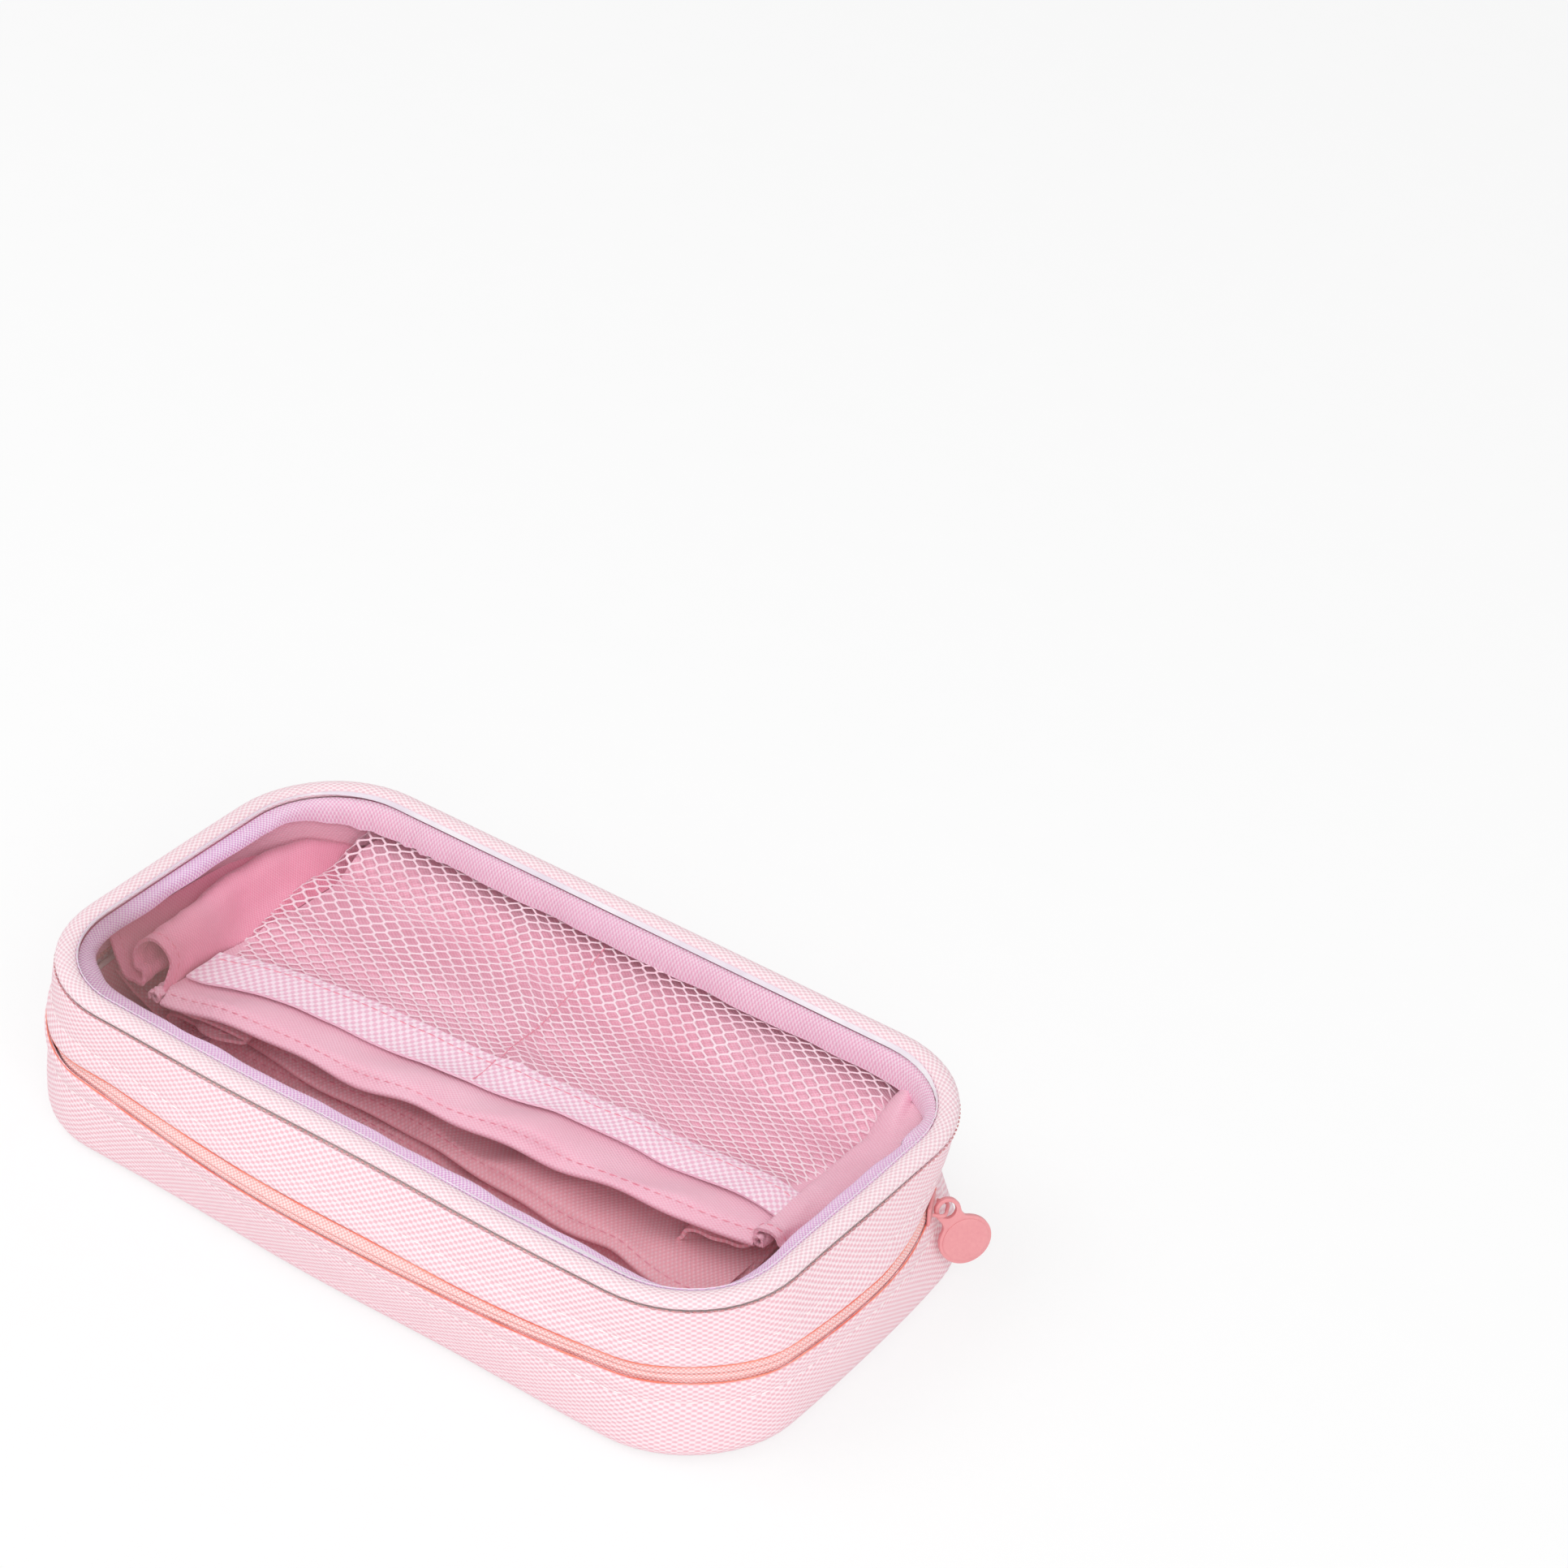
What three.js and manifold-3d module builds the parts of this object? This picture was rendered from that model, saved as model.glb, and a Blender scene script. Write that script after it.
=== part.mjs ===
// Expandable pencil case. Two soft trays lie mouth to mouth and are zipped together on three sides.
// They turn on a rolled spine along the back, and three hemmed dividers fan out between them.
// Millimetres, +Z up, +X along the long side, -Y towards the zipped front, base resting on z = 0.

import * as THREE from 'three';
import { mergeVertices } from 'three/addons/utils/BufferGeometryUtils.js';
import Module from 'manifold-3d';

// Plan of the case at the window seam
const caseLength = 215;
const caseWidth = 115.6;
const seamCorner = 30.7;
const seamHeight = 43.4;

// Plan of the case at the parting line, where the zipped walls belly out
const partingHeight = 25;
const partingDraw = 3;
const partingCorner = 21.6;
const frontBelly = 11.5;
const sideBelly = 8.2;
const backBelly = 1.5;

// Where an end wall bows out most, and how far its bow runs from there, as shares of the half width
const bowCrestShare = -0.082;
const bowBackShare = 0.628;
const bowFrontShare = 0.918;

// Plan of the case at its foot, and the rounded bottom edge
const footRadius = 5;
const footSpread = 1.6;
const footCorner = 29;
const footFrontBelly = 1.5;
const footSideBelly = 1.9;

// Layers of the walls, from the outside in
const canvasThickness = 1;
const foamThickness = 1.8;
const liningThickness = 0.6;
const layerGap = 0.3;

// Zip that runs round the front and both ends
const zipOpening = 6;
const zipGap = 0.3;
const zipTapeThickness = 0.6;
const coilWidth = 1.2;
const coilHeight = 0.9;
const seamRelief = 0.4;

// Rolled spine that the trays and the dividers turn on
const spineRadius = 2.5;
const spineEndMargin = 27;
const spineClearance = 0.2;

// Dividers, lying nearly flat when the case is shut
const gussetRoom = 27.5;
const hemToFront = 38.3;
const dividerThickness = 1.6;
const skinThickness = 0.3;
const boardThickness = 0.5;
const rootShare = 0.78;
const rootGap = 0.3;
const hemDepth = 2.5;
const frontHemLift = 2.6;
const middleHemShare = 0.35;
const meshHemRise = 2.76;

// Mesh pocket on the divider that faces the lid
const netThickness = 0.5;
const netCells = 22;
const netRows = 9;
const netStrand = 1.3;
const netFoot = 16;
const netEndMargin = 3;
const pocketTapeWidth = 9;
const pocketTapeThickness = 0.8;
const pocketTapeSetback = 9.5;

// Folded cloth between the ends of the dividers and the end walls
const clothThickness = 0.5;
const clothRootMargin = 2;
const clothHemSetback = 1;
const clothSeam = 0.55;
const lowPleatDepth = 12.7;
const highPleatDepth = 18;
const clothSagAtSpine = 4.5;
const clothSagAtHem = 1.5;
const clothRimDrop = 2.2;
const rollRoom = 4.4;
const rollWallHeight = 5;
const clothShares = [0, 0.25, 0.5, 0.75, 1];

// Window in the lid
const pipingWidth = 5.3;
const pipingHeight = 3.1;
const paneThickness = 0.5;
const paneDrop = 0.2;
const edgeTapeThickness = 0.6;
const edgeTapeFrontWidth = 4.8;
const edgeTapeFrontDrop = 0.9;
const edgeTapeBackWidth = 1.6;
const edgeTapeBackDrop = 6.6;

// Zip slider on the right-hand end wall, near the back corner
const sliderFromCorner = 4.6;
const sliderLength = 9;
const sliderWidth = 5.4;
const sliderNose = 3.4;
const sliderShoulder = 6;
const sliderLift = 0.6;
const sliderPlate = 1.2;
const sliderInnerPlate = 0.9;
const sliderSlack = 0.8;
const bailLength = 6.4;
const bailRise = 3.1;
const bailBar = 0.9;

// Pull tab: a loop, a neck and a flat oval disc
const tabThickness = 1.5;
const tabLoopRadius = 3.1;
const tabHoleRadius = 2.1;
const tabHoleOffset = 1.1;
const tabNeckWidth = 5.4;
const tabReach = 9.2;
const tabDiscWidth = 13;
const tabDiscHeight = 12;
const tabFaceInset = 0.9;
const tabFaceStep = 0.25;
const tabHang = 60;
const tabTwist = 60;

// How the back run straightens between its corners, and the fineness of the outlines
const backStraightness = 8;
const cornerSteps = 5;
const longSteps = 10;
const shortSteps = 6;
const roundSteps = 16;
const pipingSteps = 8;

const hingeHeight = partingHeight;
const backPlane = caseWidth / 2 + backBelly;
const hingeDepth = backPlane + spineClearance;
const dividerReach = hingeDepth + caseWidth / 2 - hemToFront;
const dividerHalf = caseLength / 2 - gussetRoom;
const foamInset = canvasThickness + layerGap;
const liningInset = foamInset + foamThickness + layerGap;
const innerInset = liningInset + liningThickness;
const frontHem = innerInset + frontHemLift;
const meshHem = hingeHeight + meshHemRise;
const middleHem = THREE.MathUtils.lerp(frontHem, meshHem, middleHemShare);
const restAngles = [frontHem, middleHem, meshHem].map((height) => {
  const angle = Math.asin((height - hingeHeight) / dividerReach);
  return THREE.MathUtils.radToDeg(angle);
});
const baseRim = partingHeight - zipOpening / 2;
const lidRim = partingHeight + zipOpening / 2;

const degrees = (angle) => THREE.MathUtils.degToRad(angle);

const canvasPink = new THREE.MeshStandardMaterial({ color: 0xf6cfcf, roughness: 0.85 });
const liningPink = new THREE.MeshStandardMaterial({ color: 0xeb9db2, roughness: 0.5 });
const foamWhite = new THREE.MeshStandardMaterial({ color: 0xf2efec, roughness: 0.9 });
const boardWhite = new THREE.MeshStandardMaterial({ color: 0xeeeeee, roughness: 0.6 });
const zipCoral = new THREE.MeshStandardMaterial({ color: 0xf6aea6, roughness: 0.7 });
const coilCoral = new THREE.MeshStandardMaterial({ color: 0xee9c98, roughness: 0.5 });
const netPink = new THREE.MeshStandardMaterial({ color: 0xf3c6d6, roughness: 0.7 });
const ribbonPink = new THREE.MeshStandardMaterial({ color: 0xf5cfe0, roughness: 0.7 });
const ribbonLilac = new THREE.MeshStandardMaterial({ color: 0xe2b4e2, roughness: 0.6 });
const clearVinyl = new THREE.MeshStandardMaterial({
  color: 0xffffff,
  roughness: 0.1,
  transparent: true,
  opacity: 0.25
});
const tabCoral = new THREE.MeshStandardMaterial({ color: 0xea9c9b, roughness: 0.5 });

const pencilCase = new THREE.Group();

function addPiece(name, geometry, material, parent = pencilCase) {
  const piece = new THREE.Mesh(geometry, material);
  piece.name = name;
  parent.add(piece);
  return piece;
}

// A plan between two others, by the share of the way from the lower to the upper one.
function blendPlans(low, high, share) {
  const plan = {};
  for (const key of Object.keys(low)) {
    plan[key] = THREE.MathUtils.lerp(low[key], high[key], share);
  }
  return plan;
}

const footPlan = {
  halfLength: caseLength / 2 + footSpread,
  halfWidth: caseWidth / 2 + footSpread,
  corner: footCorner,
  front: footFrontBelly,
  side: footSideBelly,
  back: backBelly - footSpread
};
const partingPlan = {
  halfLength: caseLength / 2 - partingDraw,
  halfWidth: caseWidth / 2 - partingDraw,
  corner: partingCorner,
  front: frontBelly,
  side: sideBelly,
  back: backBelly + partingDraw
};
const seamPlan = {
  halfLength: caseLength / 2,
  halfWidth: caseWidth / 2,
  corner: seamCorner,
  front: 0,
  side: 0,
  back: 0
};

function planAt(height) {
  if (height <= partingHeight) {
    const share = (height - footRadius) / (partingHeight - footRadius);
    return blendPlans(footPlan, partingPlan, Math.max(share, 0));
  }
  const share = (height - partingHeight) / (seamHeight - partingHeight);
  return blendPlans(partingPlan, seamPlan, share);
}

// The share of an end wall's bow at a depth: whole at the crest, and fading faster towards the back.
function bowAt(y, halfWidth) {
  const fromCrest = y / halfWidth - bowCrestShare;
  const fade = fromCrest > 0 ? bowBackShare : bowFrontShare;
  return 1 - (fromCrest / fade) ** 2;
}

// Points of one plan, drawn in by inset, anticlockwise from where the right end meets the back corner.
// The front and end runs bow like a parabola, and the back run stays straight between its corners.
function outline(plan, inset) {
  const halfLength = plan.halfLength - inset;
  const halfWidth = plan.halfWidth - inset;
  const corner = plan.corner - inset;
  const runX = halfLength - corner;
  const runY = halfWidth - corner;
  const flat = [];
  const quarters = [[1, 1], [-1, 1], [-1, -1], [1, -1]];
  quarters.forEach(([sideX, sideY], quarter) => {
    for (let step = 0; step <= cornerSteps; step++) {
      const angle = (quarter + step / cornerSteps) * Math.PI / 2;
      const x = sideX * runX + corner * Math.cos(angle);
      const y = sideY * runY + corner * Math.sin(angle);
      flat.push(new THREE.Vector2(x, y));
    }
    const steps = quarter % 2 === 0 ? longSteps : shortSteps;
    const from = flat[flat.length - 1];
    const [nextX, nextY] = quarters[(quarter + 1) % quarters.length];
    const endAngle = (quarter + 1) * Math.PI / 2;
    const to = new THREE.Vector2(
      nextX * runX + corner * Math.cos(endAngle),
      nextY * runY + corner * Math.sin(endAngle)
    );
    for (let step = 1; step < steps; step++) {
      flat.push(from.clone().lerp(to, step / steps));
    }
  });
  return flat.map((point) => {
    const alongX = Math.abs(point.x) / halfLength;
    const nearY = Math.max((Math.abs(point.y) - runY) / corner, 0);
    const nearX = Math.max((Math.abs(point.x) - runX) / corner, 0);
    const back = plan.back * (1 - alongX ** backStraightness) * nearY;
    const front = plan.front * (1 - alongX ** 2) * nearY;
    const side = plan.side * bowAt(point.y, plan.halfWidth) * nearX;
    const y = point.y > 0 ? point.y + back : point.y - front;
    const x = point.x + Math.sign(point.x) * side;
    return new THREE.Vector2(x, y);
  });
}

function ringAt(height, inset, plan = planAt(height)) {
  return outline(plan, inset).map((point) => new THREE.Vector3(point.x, point.y, height));
}

// How far out the wall stands at a given depth and height, drawn in by inset.
function endWall(y, height, inset) {
  const points = outline(planAt(height), inset);
  let reach = 0;
  points.forEach((point, index) => {
    const next = points[(index + 1) % points.length];
    const crosses = (point.y - y) * (next.y - y) <= 0 && point.y !== next.y;
    if (crosses) {
      const share = (y - point.y) / (next.y - point.y);
      reach = Math.max(reach, THREE.MathUtils.lerp(point.x, next.x, share));
    }
  });
  return reach;
}

// A closed skin over a row of rings with equal counts, each turning left as seen from the row's far
// end. The row closes on itself, or the first and last rings are capped by the given triangles.
// A band that leads down is split along the same diagonal as one that leads up, so layers nest.
function loft(rings, caps = null) {
  const count = rings[0].length;
  const positions = rings.flat().flatMap((point) => [point.x, point.y, point.z]);
  const faces = [];
  const bands = caps ? rings.length - 1 : rings.length;
  for (let band = 0; band < bands; band++) {
    const low = band * count;
    const high = ((band + 1) % rings.length) * count;
    const down = rings[band][0].z > rings[(band + 1) % rings.length][0].z;
    for (let index = 0; index < count; index++) {
      const next = (index + 1) % count;
      faces.push(low + index, low + next, high + (down ? index : next));
      faces.push(down ? low + next : low + index, high + next, high + index);
    }
  }
  if (caps) {
    const last = (rings.length - 1) * count;
    caps.first.forEach(([a, b, c]) => faces.push(a, c, b));
    caps.last.forEach(([a, b, c]) => faces.push(last + a, last + b, last + c));
  }
  const geometry = new THREE.BufferGeometry();
  geometry.setAttribute('position', new THREE.Float32BufferAttribute(positions, 3));
  geometry.setIndex(faces);
  geometry.computeVertexNormals();
  return geometry;
}

// Triangles that fill a flat outline, each turning the way that the outline does.
function fill(points) {
  const whole = THREE.ShapeUtils.area(points);
  return THREE.ShapeUtils.triangulateShape(points, []).map(([a, b, c]) => {
    const part = THREE.ShapeUtils.area([points[a], points[b], points[c]]);
    return part * whole > 0 ? [a, b, c] : [a, c, b];
  });
}

// One layer of the base: a tray with a rounded bottom edge, from its outer to its inner inset.
function trayLayer(outer, inner, rim) {
  const bottomShares = [0, 1 / 3, 2 / 3, 1];
  const edge = (inset, share) => {
    const angle = share * Math.PI / 2;
    const radius = footRadius - inset;
    const height = footRadius - radius * Math.cos(angle);
    const drawn = footRadius - radius * Math.sin(angle);
    return ringAt(height, drawn, footPlan);
  };
  const outside = bottomShares.map((share) => edge(outer, share));
  const inside = bottomShares.map((share) => edge(inner, share)).reverse();
  const cap = fill(outline(footPlan, footRadius));
  const rings = [...outside, ringAt(rim, outer), ringAt(rim, inner), ...inside];
  return loft(rings, { first: cap, last: cap });
}

// One layer of the lid's wall: a band round the window, open at both edges.
function wallLayer(outer, inner, low, high) {
  const rings = [ringAt(low, outer), ringAt(high, outer), ringAt(high, inner), ringAt(low, inner)];
  return loft(rings);
}

addPiece('base_canvas', trayLayer(0, canvasThickness, baseRim), canvasPink);
addPiece('base_foam', trayLayer(foamInset, foamInset + foamThickness, baseRim), foamWhite);
addPiece('base_lining', trayLayer(liningInset, innerInset, baseRim), liningPink);

// The lid's layers stop under the piping, whose section is an ellipse.
const pipingInset = layerGap / 2 + pipingWidth / 2;
const pipingUnder = (inset) => {
  const share = (pipingInset - inset) / (pipingWidth / 2);
  return seamHeight - pipingHeight / 2 * Math.sqrt(Math.max(1 - share ** 2, 0));
};
const canvasTop = pipingUnder(canvasThickness) - seamRelief;
const foamTop = pipingUnder(pipingInset) - seamRelief;
addPiece('lid_canvas', wallLayer(0, canvasThickness, lidRim, canvasTop), canvasPink);
addPiece('lid_foam', wallLayer(foamInset, foamInset + foamThickness, lidRim, foamTop), foamWhite);
addPiece('lid_lining', wallLayer(liningInset, innerInset, lidRim, foamTop), liningPink);

// A band that follows the zip: the outline without the inner points of its back run.
function zipBand(low, high, outer, inner) {
  const edges = [[low, outer], [low, inner], [high, inner], [high, outer]];
  const rings = edges.map(([height, inset]) => {
    const ring = ringAt(height, inset);
    const frontStart = cornerSteps + longSteps;
    return [...ring.slice(frontStart), ...ring.slice(0, cornerSteps + 1)];
  });
  const sections = rings[0].map((_, index) => rings.map((ring) => ring[index]));
  const cap = [[0, 1, 2], [0, 2, 3]];
  return loft(sections, { first: cap, last: cap });
}

const tapeReach = zipOpening / 2 - seamRelief;
const coilOuter = layerGap + zipTapeThickness + layerGap;
const coilInner = coilOuter + coilWidth;
const lowTapeTop = partingHeight - zipGap / 2;
const highTapeFoot = partingHeight + zipGap / 2;
const tapeOuter = layerGap;
const tapeInner = layerGap + zipTapeThickness;
const tapeFoot = partingHeight - tapeReach;
const tapeHead = partingHeight + tapeReach;
addPiece('base_zip_tape', zipBand(tapeFoot, lowTapeTop, tapeOuter, tapeInner), zipCoral);
addPiece('lid_zip_tape', zipBand(highTapeFoot, tapeHead, tapeOuter, tapeInner), zipCoral);
const lowCoilFoot = lowTapeTop - coilHeight;
const highCoilHead = highTapeFoot + coilHeight;
addPiece('base_zip_coil', zipBand(lowCoilFoot, lowTapeTop, coilOuter, coilInner), coilCoral);
addPiece('lid_zip_coil', zipBand(highTapeFoot, highCoilHead, coilOuter, coilInner), coilCoral);

// The window: a rolled canvas piping, a clear pane inside it, and a ribbon that binds the seam.
const pipingRings = [...Array(pipingSteps).keys()].map((step) => {
  const angle = -2 * Math.PI * step / pipingSteps;
  const inset = pipingInset + pipingWidth / 2 * Math.cos(angle);
  const height = seamHeight + pipingHeight / 2 * Math.sin(angle);
  return ringAt(height, inset, seamPlan);
});
addPiece('window_piping', loft(pipingRings), canvasPink);

const paneInset = pipingInset + pipingWidth / 2 + layerGap;
const paneFoot = seamHeight - paneDrop;
const paneShape = new THREE.Shape(outline(seamPlan, paneInset));
const paneSettings = { depth: paneThickness, bevelEnabled: false };
const paneGeometry = new THREE.ExtrudeGeometry(paneShape, paneSettings);
addPiece('window_pane', paneGeometry, clearVinyl).position.z = paneFoot;

// The ribbon lies nearly flat along the front and hangs along the back, thick towards the wall.
function edgeRibbon() {
  const start = outline(seamPlan, paneInset);
  const startUnder = outline(seamPlan, paneInset - edgeTapeThickness / 2);
  const top = paneFoot - layerGap;
  const rings = [[], [], [], []];
  start.forEach((point, index) => {
    const hang = THREE.MathUtils.smoothstep(point.y, -seamPlan.halfWidth, seamPlan.halfWidth);
    const width = THREE.MathUtils.lerp(edgeTapeFrontWidth, edgeTapeBackWidth, hang);
    const drop = THREE.MathUtils.lerp(edgeTapeFrontDrop, edgeTapeBackDrop, hang);
    const edge = outline(seamPlan, paneInset + width)[index];
    const outward = point.clone().normalize().multiplyScalar(edgeTapeThickness * hang);
    const under = startUnder[index];
    const edgeTop = top - drop;
    const edgeFoot = edgeTop - edgeTapeThickness * (1 - hang);
    rings[0].push(new THREE.Vector3(under.x, under.y, top - edgeTapeThickness));
    rings[1].push(new THREE.Vector3(point.x, point.y, top));
    rings[2].push(new THREE.Vector3(edge.x, edge.y, edgeTop));
    rings[3].push(new THREE.Vector3(edge.x + outward.x, edge.y + outward.y, edgeFoot));
  });
  return loft(rings);
}
addPiece('window_ribbon', edgeRibbon(), ribbonLilac);

// Everything that turns is laid out from the spine's axis.
const hingeLine = new THREE.Group();
hingeLine.position.set(0, hingeDepth, hingeHeight);
pencilCase.add(hingeLine);

const spineLength = caseLength - 2 * spineEndMargin;
const spineGeometry = new THREE.CylinderGeometry(spineRadius, spineRadius, spineLength, roundSteps);
const spine = addPiece('spine_roll', spineGeometry, canvasPink, hingeLine);
spine.rotation.z = Math.PI / 2;

// A profile of reach (out from the spine) and lift (towards the lid), drawn out along X.
function acrossCase(profile, width) {
  const geometry = new THREE.ExtrudeGeometry(profile, { depth: width, bevelEnabled: false });
  const reach = new THREE.Vector3(0, -1, 0);
  const lift = new THREE.Vector3(0, 0, 1);
  const run = new THREE.Vector3(-1, 0, 0);
  const matrix = new THREE.Matrix4().makeBasis(reach, lift, run);
  geometry.applyMatrix4(matrix);
  geometry.translate(width / 2, 0, 0);
  return geometry;
}

function rectangle(left, bottom, right, top) {
  return [[left, bottom], [right, bottom], [right, top], [left, top]].map(
    ([x, y]) => new THREE.Vector2(x, y)
  );
}

// The sleeve of a divider: its root tapers down to the spine, and it is open at both ends. The root is
// as long as it takes for neighbours to clear each other, at the least angle between them.
const [frontAngle, middleAngle, meshAngle] = restAngles;
const leastAngle = Math.min(middleAngle - frontAngle, meshAngle - middleAngle);
const spread = Math.tan(degrees(leastAngle / 2));
const rootStart = spineRadius + layerGap;
const rootLength = (dividerThickness + rootGap) / (2 * spread);
const halfDivider = dividerThickness / 2;
const halfPocket = halfDivider - skinThickness;
const boardStart = rootLength + layerGap;
const boardEnd = dividerReach - hemDepth;
function sleeveProfile() {
  const rootHalf = rootStart * spread * rootShare;
  const hemRound = dividerReach - halfDivider / 2;
  const profile = new THREE.Shape([
    new THREE.Vector2(rootStart, -rootHalf),
    new THREE.Vector2(rootLength, -halfDivider),
    new THREE.Vector2(hemRound, -halfDivider),
    new THREE.Vector2(dividerReach, -halfDivider / 2),
    new THREE.Vector2(dividerReach, halfDivider / 2),
    new THREE.Vector2(hemRound, halfDivider),
    new THREE.Vector2(rootLength, halfDivider),
    new THREE.Vector2(rootStart, rootHalf)
  ]);
  const pocket = rectangle(boardStart, -halfPocket, boardEnd, halfPocket);
  profile.holes.push(new THREE.Path(pocket.reverse()));
  return profile;
}

const dividerNames = ['front_divider', 'middle_divider', 'mesh_divider'];
const dividers = restAngles.map((angle, index) => {
  const divider = new THREE.Group();
  divider.rotation.x = -degrees(angle);
  hingeLine.add(divider);
  const width = 2 * dividerHalf;
  const name = dividerNames[index];
  addPiece(`${name}_sleeve`, acrossCase(sleeveProfile(), width), liningPink, divider);
  const half = boardThickness / 2;
  const boardFoot = boardStart + layerGap;
  const boardHead = boardEnd - layerGap;
  const board = new THREE.Shape(rectangle(boardFoot, -half, boardHead, half));
  const boardWidth = width - 2 * layerGap;
  addPiece(`${name}_board`, acrossCase(board, boardWidth), boardWhite, divider);
  return divider;
});

// The mesh pocket: staggered diamonds in a flat net, closed by a webbing tape along its mouth.
const meshDivider = dividers[dividers.length - 1];
const pocketLift = halfDivider + layerGap;
const tapeMouth = dividerReach - pocketTapeSetback;
const tapeBack = tapeMouth - pocketTapeWidth;
const netHalf = dividerHalf - netEndMargin;
const netMouth = tapeBack - layerGap;
function netGeometry() {
  const net = new THREE.Shape(rectangle(-netHalf, -netMouth, netHalf, -netFoot));
  const pitchX = (2 * netHalf - netStrand) / (netCells + 1 / 2);
  const pitchY = (netMouth - netFoot - netStrand) / ((netRows + 1) / 2);
  const halfX = (pitchX - netStrand) / 2;
  const halfY = (pitchY - netStrand) / 2;
  for (let row = 0; row < netRows; row++) {
    const stagger = row % 2 === 0 ? 1 / 2 : 1;
    const y = -netFoot - netStrand / 2 - (row + 1) * pitchY / 2;
    for (let cell = 0; cell < netCells; cell++) {
      const x = -netHalf + netStrand / 2 + (cell + stagger) * pitchX;
      const gap = [[-halfX, 0], [0, halfY], [halfX, 0], [0, -halfY]];
      net.holes.push(new THREE.Path(gap.map(([dx, dy]) => new THREE.Vector2(x + dx, y + dy))));
    }
  }
  return new THREE.ExtrudeGeometry(net, { depth: netThickness, bevelEnabled: false });
}
const pocketNet = addPiece('mesh_pocket_net', netGeometry(), netPink, meshDivider);
pocketNet.position.z = pocketLift;
const tapeTop = pocketLift + pocketTapeThickness;
const pocketTape = new THREE.Shape(rectangle(tapeBack, pocketLift, tapeMouth, tapeTop));
addPiece('mesh_pocket_tape', acrossCase(pocketTape, 2 * netHalf), ribbonPink, meshDivider);

// Thickens an open line of (x, lift) points into a closed strip of cloth. Sharp folds are mitred,
// and the least share below keeps a mitre from running out into a spike.
const leastMitreShare = 0.4;
function thicken(line) {
  const half = clothThickness / 2;
  const normals = line.map((point, index) => {
    const before = line[Math.max(index - 1, 0)];
    const after = line[Math.min(index + 1, line.length - 1)];
    const inward = point.clone().sub(before).normalize();
    const outward = after.clone().sub(point).normalize();
    const along = inward.add(outward).normalize();
    const normal = new THREE.Vector2(-along.y, along.x);
    const last = outward.lengthSq() > 0 ? outward : along;
    const mitre = Math.abs(normal.x * -last.y + normal.y * last.x);
    return normal.multiplyScalar(half / Math.max(mitre, leastMitreShare));
  });
  const upper = line.map((point, index) => point.clone().add(normals[index])).reverse();
  const lower = line.map((point, index) => point.clone().sub(normals[index]));
  return [...lower, ...upper];
}

// Cloth at the right-hand end, lofted out from the spine. lineAt gives its line at one reach, in x
// and in lift from a plane.
const clothStart = rootLength + clothRootMargin;
function cloth(planeAngle, lineAt) {
  const angle = degrees(planeAngle);
  const end = dividerReach - clothHemSetback;
  const reaches = clothShares.map((share) => THREE.MathUtils.lerp(clothStart, end, share));
  const strips = reaches.map((reach) => thicken(lineAt(reach)));
  const sections = strips.map((strip, index) => strip.map((point) => {
    const y = -reaches[index] * Math.cos(angle) + point.y * Math.sin(angle);
    const z = reaches[index] * Math.sin(angle) + point.y * Math.cos(angle);
    return new THREE.Vector3(point.x, y, z);
  }));
  return loft(sections, { first: fill(strips[0]), last: fill(strips[strips.length - 1]) });
}

// The same piece for the left-hand end.
function mirrored(geometry) {
  const copy = geometry.clone().scale(-1, 1, 1);
  const faces = copy.index.array;
  for (let face = 0; face < faces.length; face += 3) {
    [faces[face + 1], faces[face + 2]] = [faces[face + 2], faces[face + 1]];
  }
  copy.computeVertexNormals();
  return copy;
}

const clothEdge = dividerHalf + layerGap;

// The low pleat, between the front and the middle divider, folds outwards past their ends. The shares
// are of its depth and of the space between the dividers.
const lowFoldShares = [[0, 1], [0.3, 0.95], [0.65, 0.8], [0.9, 0.6]];
function lowPleatLine(reach) {
  const half = degrees(middleAngle - frontAngle) / 2;
  const open = reach * Math.tan(half) - clothSeam;
  const at = ([out, up], side) => new THREE.Vector2(clothEdge + out * lowPleatDepth, side * up * open);
  const low = lowFoldShares.map((share) => at(share, -1));
  const high = lowFoldShares.map((share) => at(share, 1));
  return [...low, at([1, 0], 1), ...high.reverse()];
}

// The high pleat, between the middle and the mesh divider, turns round their ends and is tucked in
// between them, clear of their sleeves.
const highFoldShares = [[0.35, 1], [0.65, 0.9], [0.9, 0.6]];
function highPleatLine(reach) {
  const half = degrees(meshAngle - middleAngle) / 2;
  const space = reach * Math.tan(half);
  const edge = clothEdge + clothThickness / 2;
  const seam = space - clothSeam;
  const tucked = space - halfDivider - layerGap - clothThickness / 2;
  const at = ([inward, up], side) => new THREE.Vector2(edge - inward * highPleatDepth, side * up * tucked);
  const arm = (side) => [
    new THREE.Vector2(edge, side * seam),
    new THREE.Vector2(edge, side * tucked),
    ...highFoldShares.map((share) => at(share, side))
  ];
  return [...arm(-1), at([1, 0], 1), ...arm(1).reverse()];
}

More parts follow.
